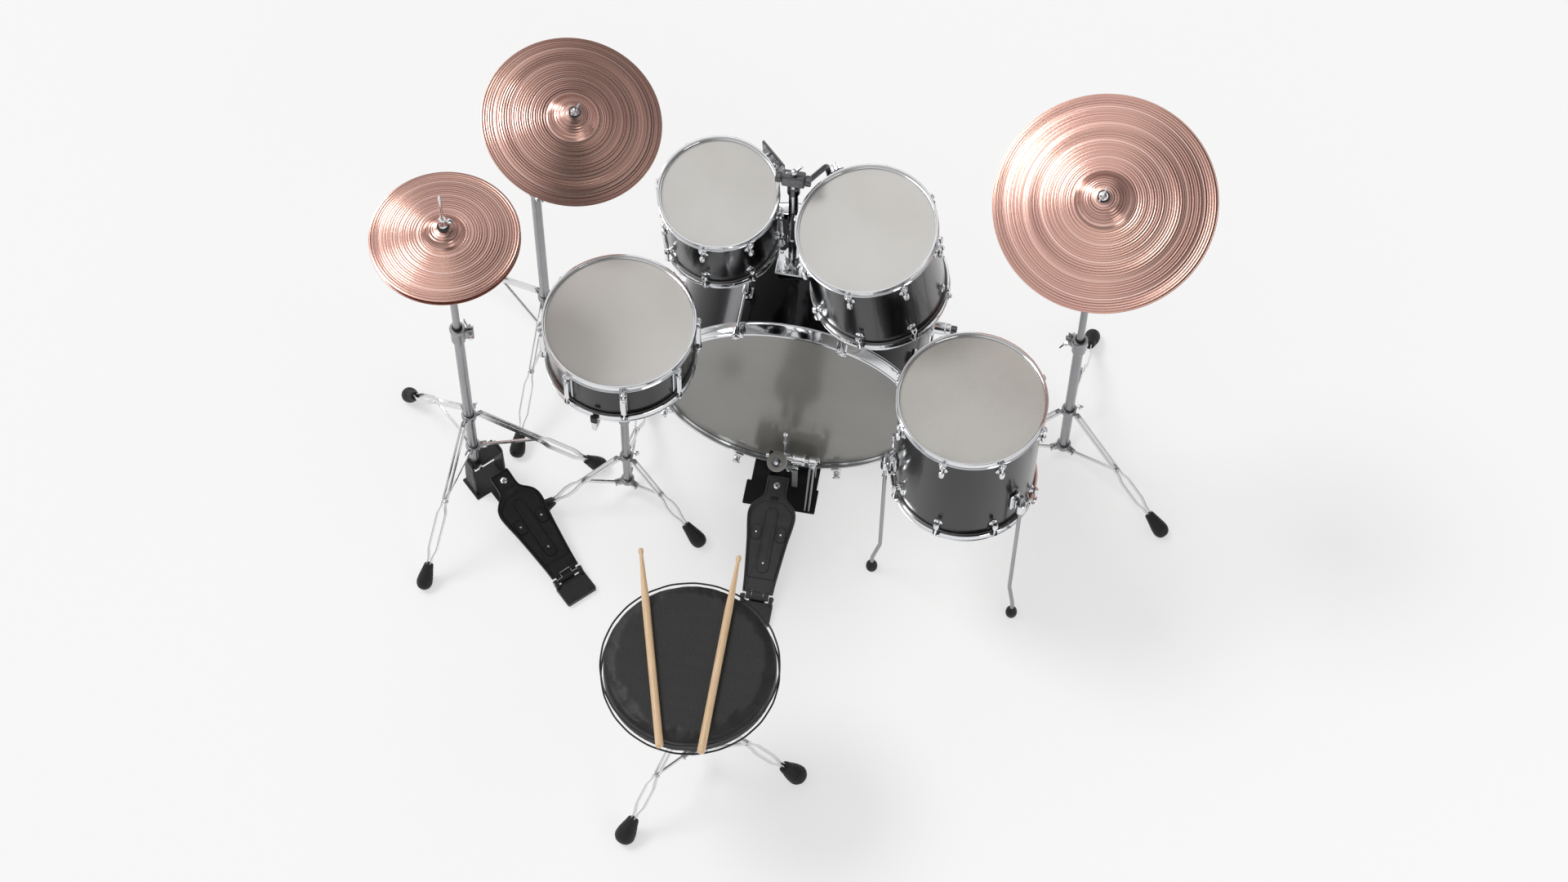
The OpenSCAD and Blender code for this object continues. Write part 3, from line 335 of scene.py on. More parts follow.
def smooth_prof(pts, per=8):
    # Catmull-Rom through the points
    out = []
    P = [pts[0]] + list(pts) + [pts[-1]]
    for i in range(1, len(P) - 2):
        for k in range(per):
            t = k / per; a, b, c, d = P[i - 1], P[i], P[i + 1], P[i + 2]
            out.append(tuple(0.5 * ((2 * b[j]) + (-a[j] + c[j]) * t + (2 * a[j] - 5 * b[j] + 4 * c[j] - d[j]) * t * t + (-a[j] + 3 * b[j] - 3 * c[j] + d[j]) * t ** 3) for j in (0, 1)))
    out.append(pts[-1]); return out

# ------------------------------------------------------------------ drums
def hoop(b, r, n, off):
    b.lathe([(r + 3.2, -22.6), (r + 3.6, -23), (r + 7.4, -23), (r + 8, -22.4), (r + 8, -21.2), (r + 7.4, -20.6), (r + 6.4, -20.4), (r + 5.7, -19.6), (r + 5.6, -4.2), (r + 5.9, -3),
             (r + 6.8, -2.5), (r + 7.6, -2.3), (r + 8, -1.6), (r + 7.9, -0.6), (r + 7, 0), (r + 4.6, -0.1), (r + 3.6, -0.8), (r + 3.2, -2), (r + 3.2, -7.6), (r + 2.8, -8), (r + 1.2, -8), (r + 1, -8.4), (r + 1, -10.2), (r + 1.4, -10.5), (r + 3.2, -10.5)], iCH, 128, True)
    for i in range(n):
        b.push(RZ(off + i * 360 / n))
        b.prism([(r + 6.6, -9), (r + 11, -8.4), (r + 15.5, -6.2), (r + 18, -2.6), (r + 18, 2.6), (r + 15.5, 6.2), (r + 11, 8.4), (r + 6.6, 9)], -23, -20.7, iCH, 0.5)
        b.pop()
def bolt(b, r, z):
    # washer and square-drive tension bolt at radius r, head above z
    b.push(T(r, 0, 0)); b.cyl(5, z, z + 1.4, iCH, 24, 0.3); b.cyl(3.9, z + 1.3, z + 4.4, iCH, 24, 0.6)
    b.box((-2.3, -2.3, z + 4.2), (2.3, 2.3, z + 9), iCH, 0.5); b.pop()
def drum(pre, body, C, n, r, H, cnt, off, style, head, extra=None):
    P = AIM(C, n)
    b = B(); b.lathe([(r, -12.6), (r, -H + 12.6), (r - 1, -H + 12.1), (r - 6, -H + 12.1), (r - 6, -12.1), (r - 1, -12.1)], 0, 160, True)
    b.done(pre + "_shell_skin", body, (pre + "_shell",), [SHL], P)
    b = B()
    for M in (Matrix(), T(0, 0, -H) @ MIR):
        b.push(M)
        b.lathe([(0, -10.9), (r * 0.5, -10.9), (r - 7, -10.9), (r - 3.5, -10.7), (r - 1.2, -10.6), (r + 1, -11), (r + 2.4, -12), (r + 3, -13.5), (r + 3, -20), (r + 0.4, -20), (r + 0.4, -13), (r - 2, -12), (0, -12)], 0, 160)
        b.pop()
    b.done(pre + "_head_films", body, (pre + "_heads",), [head], P)
    b = B()
    for M in (Matrix(), T(0, 0, -H) @ MIR): b.push(M); hoop(b, r, cnt, off); b.pop()
    b.done(pre + "_hoop_rims", body, (pre + "_hoops",), None, P)
    b = B()
    for i in range(cnt):
        b.push(RZ(off + i * 360 / cnt))
        if style == "long":
            b.box((r + 0.3, -8, -H + 38), (r + 3.2, 8, -38), iCH, 1.2)
            b.box((r + 2.8, -6.6, -H + 40), (r + 15.6, 6.6, -40), iCH, 2.6)
            b.box((r + 15, -3.4, -H + 50), (r + 16.6, 3.4, -50), iCH, 0.8)
            for M in (Matrix(), T(0, 0, -H) @ MIR):
                b.push(M); b.push(T(r + 12.5, 0, 0)); b.cyl(2.5, -40.2, -22, iCH, 20, 0.2); b.pop(); bolt(b, r + 12.5, -20.6); b.pop()
        else:
            for M in (Matrix(), T(0, 0, -H) @ MIR):
                b.push(M)
                b.push(T(r + 0.2, 0, -57.5), RY(90)); b.lathe([(0, 0), (9.5, 0), (9.5, 1.6), (8.6, 2.6), (6.2, 3.6), (5.6, 7), (0, 7)], iCH, 32); b.pop()
                b.push(T(r + 12.5, 0, 0)); b.lathe([(0, -68), (3.4, -67.6), (5.4, -66), (6.5, -62.6), (6.6, -57), (6.2, -51.5), (5.2, -48.6), (3.6, -47.6), (0, -47.4)], iCH, 32)
                b.cyl(2.5, -48, -22, iCH, 20, 0.2); b.pop(); bolt(b, r + 12.5, -20.6); b.pop()
        b.pop()
    if extra: extra(b)
    b.done(pre + "_lug_set", body, (pre + "_lugs",), None, P)

drum("tom_small", "tom_small", (-184, 145, 905), (-0.010, -0.141, 0.990), 122, 219, 8, -5, "short", HEAD)
drum("tom_large", "tom_large", (139, 96, 932), (-0.121, -0.110, 0.987), 143, 284, 8, -6, "short", HEAD)
drum("snare", "snare", (-351, -110, 745), (0, 0, 1), 156.5, 149, 8, 14, "long", HEAD)
def floor_brackets(b):
    for a in (200, 80, 320):
        b.push(RZ(a)); r = 152.4
        b.box((r + 0.6, -12, -262), (r + 6, 12, -208), iCH, 2.0)
        b.box((r + 5, -7, -252), (r + 16, 7, -218), iCH, 2.0)
        b.push(T(r + 24, 0, 0)); b.lathe([(4.8, -252), (9.5, -252), (11, -250.5), (11, -219.5), (9.5, -218), (4.8, -218)], iCH, 40, True); b.pop()
        b.push(T(r + 24, 12, -235), RX(-90)); b.cyl(3, -2, 10, iCH, 20); b.push(T(0, 0, 9)); b.wing(iCH, 15, 10); b.pop(); b.pop()
        b.pop()
drum("floor_tom", "kit_base", (412, -153, 732), (0, 0, 1), 152.4, 351, 8, -13, "short", FHEAD, floor_brackets)
for nm, a in (("a", 200), ("b", 80), ("c", 320)):
    b = B(); b.push(T(412, -153, 0), RZ(a))
    x = 176.4
    b.tube([(x, 0, 545.1), (x, 0, 544), (x, 0, 300), (x, 0, 118), (x + 0.6, 0, 111), (x + 2.6, 0, 103), (x + 13.4, 0, 62), (x + 15.6, 0, 53), (x + 16, 0, 44), (x + 16, 0, 26)], [3.6] + [4.5] * 9, iSAT, 20)
    for k in range(9):  # knurled grip rings near the bracket
        b.push(T(x, 0, 474 + 5 * k)); b.ring(4.75, 4.2, 0, 2.4, iSAT, 24, 0.2); b.pop()
    b.push(T(x + 16, 0, 0)); b.lathe([(0, 0), (9, 0), (11.6, 1.5), (12.6, 5), (13, 11), (12.4, 17), (10.4, 22.5), (7.6, 27), (6.2, 30), (4.4, 30.4), (0, 30.4)], iRUB, 40); b.pop()
    b.pop(); b.done("floor_leg_%s_rod" % nm, "floor_leg_" + nm, ("floor_tom_leg_" + nm,))

# ------------------------------------------------------------------ bass drum
def BA(y): return T(0, y, 322) @ RX(-90)
rb = 282
PB = BA(0)
b = B(); b.lathe([(rb, 2.4), (rb, 315.6), (rb - 1, 316), (rb - 8, 316), (rb - 8, 2), (rb - 1, 2)], 0, 200, True)
b.done("bass_shell_skin", "kit_base", ("bass_shell",), [SHL], PB)
b = B()
for M in (BA(0), BA(318) @ MIR):
    b.push(M); b.lathe([(0, 0.9), (rb * 0.6, 0.9), (rb - 12, 0.9), (rb - 5, 0.6), (rb - 1, 0.2), (rb + 2.6, 0.5), (rb + 4.6, 2), (rb + 5, 4), (rb + 5, 14), (rb + 0.4, 14), (rb + 0.4, 2.4), (0, 1.9)], 0, 200); b.pop()
b.done("bass_head_films", "kit_base", ("bass_heads",), [BHEAD])
b = B()
for M in (BA(-12), BA(330) @ MIR):
    b.push(M); b.lathe([(rb + 5.3, 0.8), (rb + 6, 0), (rb + 11, 0), (rb + 12, 0.8), (rb + 12, 2), (rb + 11.4, 2.8), (rb + 10, 3.6), (rb + 9.5, 5), (rb + 9.5, 27), (rb + 10, 28.6), (rb + 11.4, 29.4), (rb + 12, 30.4), (rb + 11.6, 31.6), (rb + 10.8, 32), (rb + 6, 32), (rb + 5.3, 31.4), (rb + 5.3, 11.9), (rb + 2.8, 11.9), (rb + 2.5, 11.6), (rb + 2.5, 9.8), (rb + 2.8, 9.5), (rb + 5.3, 9.5)], iCH, 200, True); b.pop()
b.done("bass_hoop_rims", "kit_base", ("bass_hoops",))
b = B()
for M in (BA(-12), BA(330) @ MIR):
    for i in range(8):
        b.push(M, RZ(22.5 + 45 * i))
        # claw: hooked plate over the hoop with a rod boss
        b.push(RX(90), T(0, 0, -10)); b.prism([(rb + 5, -5), (rb + 4.4, -1.4), (rb + 7, -0.2), (rb + 12.6, -0.2), (rb + 12.8, 14), (rb + 13.4, 24), (rb + 17, 24), (rb + 19.8, 16), (rb + 20, -1), (rb + 17, -5.6), (rb + 10, -6.2)], 0, 20, iCH, 1.6); b.pop()
        b.push(T(rb + 23, 0, 0)); b.cyl(3, -10, 99, iCH, 20); b.lathe([(0, -17), (4.4, -17), (5.8, -16), (6, -12), (8, -10), (8, 8), (5.2, 12), (0, 12)], iCH, 28)
        b.pop()
        b.push(T(rb + 23, -9, -15.4), RX(-90)); b.cyl(2.4, 0, 18, iCH, 16); b.pop()
        b.push(T(rb + 0.6, 0, 0)); b.box((0, -9, 97), (4, 9, 125), iCH, 1.4); b.box((3.4, -6, 101), (22, 6, 121), iCH, 2.4); b.pop()
        b.push(T(rb + 23, 0, 0)); b.lathe([(0, 96), (4.6, 96.4), (6.6, 99), (7.2, 104), (7.2, 118), (6.4, 122.6), (4.4, 125), (0, 125.4)], iCH, 32); b.pop()
        b.pop()
for s_ in (1, -1):
    b.push(T(s_ * 281.6, 255, 300), RY(s_ * 90)); b.lathe([(0, -2), (22, -2), (22, 2.4), (20, 4), (16, 5), (15, 8), (15, 28.6), (13.6, 30), (0, 30)], iCH, 48); b.pop()
b.box((-62, 144, 604.2), (6, 206, 612.2), iCH, 3.0)
b.push(T(-28, 172, 0)); b.lathe([(9.3, 612.3), (17, 612.3), (17, 618), (15, 621), (15, 652), (16.4, 654), (16.4, 658.3), (9.3, 658.3)], iCH, 48, True)
b.push(T(0, -15, 640), RX(90)); b.cyl(3.4, 0, 10, iCH, 20); b.push(T(0, 0, 9), RZ(25)); b.wing(iCH, 16, 10); b.pop(); b.pop()
for x_ in (-27, 27):
    for y_ in (-21, 27): b.push(T(x_, y_, 612)); b.lathe([(0, 3.2), (2.4, 3.0), (4, 1.8), (4.6, 0), (0, 0)], iCH, 24); b.pop()
b.pop()
b.done("bass_fittings", "kit_base", ("bass_hardware",))
for s_, nm in ((-1, "left"), (1, "right")):
    b = B(); b.push(T(s_ * 318, 255, 300))
    b.push(RY(90)); b.lathe([(0, -5.6), (12.6, -5.6), (14, -4.4), (14, 4.4), (12.6, 5.6), (0, 5.6)], iCH, 40); b.pop()
    b.bar((0, 3, -12), (0, 66, -279), 5, iSAT)
    b.push(AIM((0, 61.5, -262), (0, 5, -21))); b.lathe([(0, 0), (6, 0), (8, 4), (9, 12), (9, 28), (8, 34), (4, 37), (0, 37.4)], iRUB, 32); b.pop()
    b.push(T(s_ * 6, 0, 0), RY(s_ * 90)); b.lathe([(0, 0), (9, 0), (10, 1), (10, 12), (8.6, 14), (0, 14)], iDCH, 14); b.pop()
    b.pop(); b.done("bass_spur_%s_leg" % nm, "spur_" + nm, ("bass_spur_" + nm,))

# ------------------------------------------------------------------ tom post and holders
b = B(); b.push(T(-28, 172, 0))
b.cyl(9, 545.5, 700, iCH, 32); b.ring(12.5, 8.8, 700, 726, iCH, 40, 1.2); b.cyl(10.4, 724, 930, iCH, 32)
b.ring(14, 9.8, 905, 930, iDCH, 40, 1.4)
b.box((-26, -12, 939.2), (24, 12, 973.2), iDCH, 3.0); b.cyl(11.5, 928, 941, iCH, 32)
for k in (-1, 1):
    for j in range(14): b.push(T(k * 24 - 1, 0, 956), RY(k * 90), RZ(j * 360 / 14)); b.box((8.6, -1, -1.2), (11.4, 1, 0.9), iDCH, 0.3); b.pop()
b.push(T(0, 0, 973)); b.cyl(4, 0, 8, iCH, 20); b.push(T(0, 0, 7), RZ(35)); b.wing(iCH, 20, 12); b.pop(); b.pop()
b.pop(); b.done("tom_post_column", "tom_post", ("tom_post",))
def holder(nm, body, hub_x, arm, top, n, r, ang, zlo, zhi, wd, br, knob):
    b = B()
    b.push(T(hub_x, 172, 956), RY(90)); b.lathe([(0, 0), (10.6, 0), (12, 1.2), (12, 11), (10.6, 12.4), (0, 12.4)], iDCH, 40); b.pop()
    p, q = Vector(arm[0]), Vector(arm[-1]); mid = p.lerp(q, 0.5) + Vector((0, 4, 4))
    pts = [p * (1 - t) ** 2 + mid * 2 * t * (1 - t) + q * t * t for t in [i / 10 for i in range(11)]]
    if len(arm) == 3:
        k = Vector(arm[1]); a0, a1 = k + (p - k).normalized() * 10, k + (q - k).normalized() * 10
        pts = [p] + [a0 * (1 - t) ** 2 + k * 2 * t * (1 - t) + a1 * t * t for t in [i / 8 for i in range(9)]] + [q]
    b.tube(pts, 6, iDCH, 20)
    b.push(AIM(top, n), RZ(ang))
    b.box((r + 19.6, -wd, zlo), (r + 25.6, wd, zhi), iDCH, 2.0)
    for y0, y1, h in br:
        b.box((r - 1.6, y0, zlo + 6), (r + 20.4, y1, zlo + 6 + h), iCH, 2.2)
        b.push(T(r + 25.4, (y0 + y1) / 2, zlo + 13), RY(90)); b.lathe([(0, 0), (5.5, 0), (5.5, 1), (4, 3), (0, 3.4)], iCH, 6); b.pop()
    if knob:
        b.push(T(r + 25.4, -6, -38), RY(90)); b.lathe([(0, 0), (7, 0), (9, 1.5), (9, 16.5), (8, 18), (0, 18)], iCH, 40)
        for j in range(20): b.push(RZ(j * 18)); b.box((8.4, -0.5, 3), (9.5, 0.5, 15), iCH, 0.2); b.pop()
        b.pop()
    b.pop(); b.done(nm + "_arm", body, (nm,))
holder("tom_holder_left", "tom_small", -67, [(-62, 176, 952), (-63.5, 230, 905)], (-184, 145, 905), (-0.010, -0.141, 0.990), 122, 47, -78, 0, 38, ((-35, -27, 12), (27, 35, 12)), False)
holder("tom_holder_right", "tom_large", -3.4, [(3, 176, 952), (32.2, 230.2, 935.9), (37.9, 235.4, 889.6)], (139, 96, 932), (-0.121, -0.110, 0.987), 143, 124, -82, -28, 20, ((-16.6, -3.4, 40),), True)

# ------------------------------------------------------------------ cymbals
def cym_pts(r, rise, br, bh, hole):
    top = [(hole, rise + bh), (br * 0.25, rise + bh * 0.97), (br * 0.45, rise + bh * 0.86), (br * 0.66, rise + bh * 0.66), (br * 0.8, rise + bh * 0.45), (br * 0.92, rise + bh * 0.17), (br * 1.04, rise + 0.2)]
    top += [(br + (r - br) * t, rise * (1 - t ** 1.35) + 0.3) for t in (0.1, 0.2, 0.3, 0.4, 0.5, 0.6, 0.7, 0.8, 0.9)] + [(r - 1.2, 1.1), (r, 0.9)]
    return smooth_prof(top, 6)
def cymbal(name, body, rep, C, n, r, rise, br, bh, hole, flip=False):
    up = cym_pts(r, rise, br, bh, hole)
    lo = [(x, max(z - 1.5, 0.0) if x > r - 4 else z - 1.5) for x, z in up][::-1]
    b = B()
    if flip: b.push(MIR)
    b.lathe(up + lo, 0, 192, True)
    b.done(name, body, (rep,), [BRZ], AIM(C, n), 60)
cymbal("crash_bronze", "crash_cymbal", "crash_cymbal", (-520, 249, 923), (0.185, -0.149, 0.971), 193, 22, 55, 24, 6.5)
cymbal("ride_bronze", "ride_cymbal", "ride_cymbal", (621, 161, 1066), (-0.092, -0.324, 0.941), 232, 24, 62, 26, 6.5)
cymbal("hat_top_bronze", "hihat_rod", "hihat_top_cymbal", (-690, -172, 1080), (0, 0, 1), 155, 14, 42, 20, 6)
cymbal("hat_bottom_bronze", "hihat_upper", "hihat_bottom_cymbal", (-690, -172, 1068), (0, 0, 1), 155, 14, 42, 20, 6, True)

def tilter(name, body, rep, C, n, a, t0, seat, top):
    C, n, a = Vector(C), Vector(n).normalized(), Vector(a).normalized(); b = B()
    t = C - n * t0
    b.push(AIM(t - a * 9, a)); b.lathe([(0, 0), (12.6, 0), (14, 1.2), (14, 16.8), (12.6, 18), (0, 18)], iCH, 48)
    for j in range(24): b.push(RZ(j * 15)); b.box((9, -0.6, 17.4), (13, 0.6, 18.3), iCH, 0.2); b.pop()
    b.pop()
    b.bar(t, C + n * (seat - 12), 6, iCH); b.bar(C + n * (seat - 12), C + n * (top + 26), 3.2, iCH)
    b.push(AIM(C, n))
    b.push(T(0, 0, seat - 12)); b.lathe([(0, 0), (8, 0), (14, 2), (14, 3.8), (0, 3.8)], iCH, 40); b.pop()
    b.push(T(0, 0, seat - 8.1)); b.lathe([(3.3, 0), (11, 0), (12, 1.5), (12, 4.6), (11, 6.1), (3.3, 6.1)], iFLT, 40, True); b.pop()
    b.push(T(0, 0, top + 0.7)); b.lathe([(3.3, 0), (11.6, 0), (13, 1.6), (13, 6), (11.4, 8.2), (3.3, 8.2)], iFLT, 40, True); b.pop()
    b.push(T(0, 0, top + 9)); b.lathe([(3.3, 0), (9.6, 0), (9.8, 0.8), (9.2, 1.6), (3.3, 1.6)], iCH, 40, True); b.pop()
    b.push(T(0, 0, top + 10.8), RZ(70)); b.wing(iCH, 17, 13); b.pop()
    b.pop(); b.done(name, body, (rep,))
ca = Vector((0.149, 0.185, 0)).normalized()
tilter("crash_tilter_set", "crash_tilter", "crash_tilter", (-520, 249, 923), (0.185, -0.149, 0.971), ca, 15, 44, 46)
tilter("ride_tilter_set", "ride_tilter", "ride_tilter", (621, 161, 1066), (-0.092, -0.324, 0.941), (1, 0, 0), 40, 48, 50)
def tilt_disc(b, t, a):
    t, a = Vector(t), Vector(a); b.push(AIM(t - a * 20.5, a)); b.lathe([(0, 0), (12.4, 0), (14, 1.4), (14, 9.2), (13, 10), (0, 10)], iSAT, 48)
    b.push(T(0, 0, -1)); b.lathe([(0, -6), (4.4, -6), (5, -5), (5, 2), (0, 2)], iCH, 6); b.pop(); b.pop()
b = B(); ct = Vector((-520, 249, 923)) - Vector((0.185, -0.149, 0.971)) * 15
b.push(T(-608, 226, 0)); b.cyl(8, 470, 794, iSAT, 40); b.pop()
b.push(T(-608, 217, 800), RX(-90)); b.lathe([(0, 0), (11.6, 0), (13, 1.2), (13, 16.8), (11.6, 18), (0, 18)], iSAT, 48); b.push(T(0, 0, -8)); b.wing(iCH, 16, 10); b.pop(); b.pop()
b.bar((-608, 226, 800), ct - ca * 15.5, 6, iSAT); tilt_disc(b, ct, ca)
b.done("crash_upper_pole", "crash_upper", ("crash_upper_tube",))
b = B(); rt = Vector((621, 161, 1066)) - Vector((-0.092, -0.324, 0.941)) * 40
b.push(T(615, 161, 0)); b.cyl(8, 300, 990, iSAT, 40); b.lathe([(0, 985), (9, 985), (9.6, 987), (9.2, 994), (7.4, 998), (0, 998.4)], iCH, 40); b.pop()
b.bar((612, 161, 992), rt - Vector((15.5, 0, 0)), 5, iSAT); tilt_disc(b, rt, (1, 0, 0))
b.done("ride_upper_pole", "ride_upper", ("ride_upper_tube",))

# ------------------------------------------------------------------ tripods
def boot(b, L, k, cutz=None):
    b.push(T(L - 52, 0, 0), RY(90))
    b.lathe([(0, -1), (7.6 * k, -1), (8.4 * k, 0), (9.2 * k, 4), (10.4 * k, 12), (12.2 * k, 24), (14 * k, 34), (15 * k, 42), (15 * k, 48), (14 * k, 53), (11.6 * k, 58.5), (8 * k, 62), (4 * k, 63.4), (0, 63.8)], iRUB, 40)
    for x_ in (18, 25, 32): b.ring(x_ * 0.165 * k + 8.9 * k, x_ * 0.165 * k + 6 * k, x_, x_ + 3, iRUB, 40, 0.6)
    b.pop()
def strips(b, L, xj):
    t = 2.2
    for s_ in (-1, 1):
        ctr = [(-6, 3.4), (xj + 10, 3.4), (xj + 16, 4.2), (xj + 28, 7.8), (xj + 34, 8.6), (L - 94, 8.6), (L - 88, 7.8), (L - 72, 3.6), (L - 66, 2.8), (L - 50, 2.8)]
        poly = [(x_, s_ * y_) for x_, y_ in ctr] + [(x_, s_ * (y_ + t)) for x_, y_ in ctr[::-1]]
        b.prism(poly, -6, 6, iSTP, 0.5)
def one_leg(b, rk, zk, rb_, zb, xj, k, two=False):
    beta = math.degrees(math.atan2(zk - zb, rb_ - rk)); L = math.hypot(rb_ - rk, zk - zb)
    b.push(T(rk, 0, zk), RY(beta)); strips(b, L, xj)
    i0 = len(b.v); boot(b, L, k)
    for i in range(i0, len(b.v)):
        if b.v[i].z < 0: b.v[i].z = 0.0
    for s_ in (-1, 1):
        b.push(T(xj, s_ * 5.7, 0), RX(-s_ * 90)); b.lathe([(0, 0), (4.6, 0), (4.4, 1.2), (2.6, 2.2), (0, 2.4)], iCH, 24); b.pop()
    b.pop()
def one_strut(b, rk, zk, rb_, zb, xj, rl, zl):
    beta = math.atan2(zk - zb, rb_ - rk); j = (rk + xj * math.cos(beta), zk - xj * math.sin(beta)); l = math.hypot(j[0] - rl, j[1] - zl)
    b.push(T(rl, 0, zl), RY(-math.degrees(math.atan2(j[1] - zl, j[0] - rl))), RX(90), T(0, 0, -2.4))
    b.prism([(-6, -2), (-4, -5), (4, -5), (10, -4), (l - 8, -4), (l - 2, -5), (l + 4, -4), (l + 5, 0), (l + 4, 4), (l - 2, 5), (l - 8, 4), (10, 4), (4, 5), (-4, 5), (-6, 2)], 0, 4.8, iSTP, 0.5)
    b.pop()
def top_ring(b, ri, h, angs, rk, z):
    b.push(T(0, 0, z)); b.ring(ri + 5.5, ri, -h / 2, h / 2, iSAT, 48, 1.2)
    for a in angs:
        b.push(RZ(a)); b.box((ri + 3, -3, -6), (rk + 5, 3, 6), iSAT, 1.2)
        b.push(T(rk, 6.9, 0), RX(90)); b.cyl(2.5, 0, 13.8, iCH, 20, 0.6); b.pop(); b.pop()
    b.pop()
def low_ring(b, ri, h, angs, rl, z):
    b.push(T(0, 0, z)); b.ring(ri + 5.5, ri, -h / 2, h / 2, iSAT, 48, 1.2)
    for a in angs:
        b.push(RZ(a))
        for s_ in (-1, 1): b.box((ri + 3, s_ * 4.5 - 1.7, -6), (rl + 6, s_ * 4.5 + 1.7, 6), iSAT, 0.8)
        b.push(T(rl, 7.2, 0), RX(90)); b.lathe([(0, 0), (3.6, 0.2), (4, 1), (2.5, 1.2), (2.5, 13.2), (4, 13.4), (3.6, 14.2), (0, 14.4)], iCH, 20); b.pop(); b.pop()
    b.pop()
def clamp(b, z0, z1, ro, bore, ang):
    h = z1 - z0
    b.push(T(0, 0, z0)); b.lathe([(ro + 0.1, 0.4), (ro + 0.6, 0), (ro + 2, 0.4), (ro + 3, 4), (ro + 4.5, 9), (ro + 4.6, h - 15), (ro + 5.4, h - 13), (ro + 6, h - 11), (ro + 6, h - 1.6), (ro + 5, h), (bore + 1, h), (bore, h - 1), (bore, h - 12), (ro + 0.1, h - 12)], iSAT, 48, True)
    b.lathe([(bore + 0.05, h), (bore + 3, h), (bore + 3, h + 2.2), (bore + 2, h + 3), (bore + 0.05, h + 3)], iBLK, 40, True); b.pop()
    b.push(RZ(ang))
    for s_ in (-1, 1): b.box((ro + 2, s_ * 4.5 - 2, z1 - 42), (ro + 23, s_ * 4.5 + 2, z1 - 13), iSAT, 1.4)
    b.push(T(ro + 15, 18, z1 - 27), RX(90)); b.cyl(3, 0, 34, iCH, 20); b.lathe([(0, 30), (6, 30), (6, 34), (5, 35.4), (0, 35.6)], iCH, 6); b.pop()
    b.push(T(ro + 15, 10, z1 - 27), RX(-90), RZ(62)); b.wing(iCH, 20, 15, 3.6); b.pop()
    b.pop()
def tripod(b, angs, rk, zk, rb_, zb, xj, rl, zl, k=1.2, tr=11):
    for a in angs: b.push(RZ(a)); one_leg(b, rk, zk, rb_, zb, xj, k); one_strut(b, rk, zk, rb_, zb, xj, rl, zl); b.pop()
    top_ring(b, tr + 0.1, 16, angs, rk, zk); low_ring(b, tr + 0.1, 14, angs, rl, zl)
    b.push(T(0, 0, zk + 9), RZ(angs[0] + 60)); b.push(T(tr + 4, 0, -9), RY(90)); b.cyl(3, 0, 8, iCH, 20); b.push(T(0, 0, 7), RZ(30)); b.wing(iCH, 14, 9); b.pop(); b.pop(); b.pop()
def tube_part(b, r, ri, z0, z1): b.lathe([(ri, z0), (r - 0.5, z0), (r, z0 + 0.5), (r, z1 - 0.5), (r - 0.5, z1), (ri, z1)], iSAT, 48, True)

b = B(); b.push(T(-351, -118, 0)); tripod(b, [-31, 89, 209], 24, 152, 220, 13, 97, 24, 42, 1.2, 9.3); tube_part(b, 9.3, 7.4, 30, 356); clamp(b, 312, 366, 9.3, 7.4, 150); b.pop()
b.done("snare_stand_base", "kit_base", ("snare_stand_tripod",))
b = B(); b.push(T(-351, -118, 0)); b.cyl(7, 230, 541, iSAT, 32)
b.lathe([(0, 540.1), (20, 540.1), (26, 543), (28, 546), (28, 550), (26.6, 551.8), (0, 551.8)], iSAT, 48)
for a in (21.5, 141.5, 261.5):
    b.push(T(0, 8, 0), RZ(a)); rr = 156.5
    b.box((8, -4, 551.9), (rr + 14, 4, 561), iSTP, 1.2)
    b.box((rr + 10, -5, 560.6), (rr + 17, 5, 596), iSTP, 1.4)
    b.box((rr + 9.4, -7.5, 590), (rr + 18, 7.5, 615), iRUB, 2.4); b.pop()
b.pop(); b.done("snare_basket_arms", "snare", ("snare_stand_basket",))
b = B(); b.push(T(-690, -172, 0)); tripod(b, [19, 137, 257], 26, 328, 284, 13, 194, 25, 188); tube_part(b, 11, 8.3, 110, 702); clamp(b, 655, 712, 11, 8.3, 20); b.pop()
b.done("hihat_stand_base", "kit_base", ("hihat_tripod",))
b = B(); b.push(T(-608, 226, 0)); tripod(b, [-92, 31, 148], 26, 208, 308, 13, 152, 25, 46); tube_part(b, 11, 8.3, 34, 690); clamp(b, 646, 700, 11, 8.3, -40); b.pop()
b.done("crash_stand_base", "kit_base", ("crash_tripod",))
b = B(); b.push(T(615, 161, 0)); tube_part(b, 11, 8.3, 14, 496); clamp(b, 451, 506, 11, 8.3, 150); low_ring(b, 11.1, 14, [-35, 85, 205], 26, 26)
b.push(T(0, 0, 12)); b.lathe([(0, 0), (10, 0), (11.6, 2), (11.6, 9), (0, 9)], iBLK, 40); b.pop(); b.pop()
b.done("ride_base_pole", "kit_base", ("ride_base_tube",))
b = B(); b.push(T(615, 161, 0)); top_ring(b, 11.3, 16, [-35, 85, 205], 26, 190)
b.push(RZ(25), T(15, 0, 190), RY(90)); b.cyl(3, 0, 8, iCH, 20); b.push(T(0, 0, 7), RZ(30)); b.wing(iCH, 14, 9); b.pop(); b.pop(); b.pop()
b.done("ride_collar_ring", "ride_collar", ("ride_collar",))
for nm, a in (("a", -35), ("b", 85), ("c", 205)):
    b = B(); b.push(T(615, 161, 0), RZ(a)); one_leg(b, 26, 190, 308, 13, 154, 1.2); b.pop(); b.done("ride_leg_%s_strips" % nm, "ride_leg_" + nm, ("ride_leg_" + nm,))
    b = B(); b.push(T(615, 161, 0), RZ(a)); one_strut(b, 26, 190, 308, 13, 154, 26, 26); b.pop(); b.done("ride_strut_%s_bar" % nm, "ride_strut_" + nm, ("ride_strut_" + nm,))

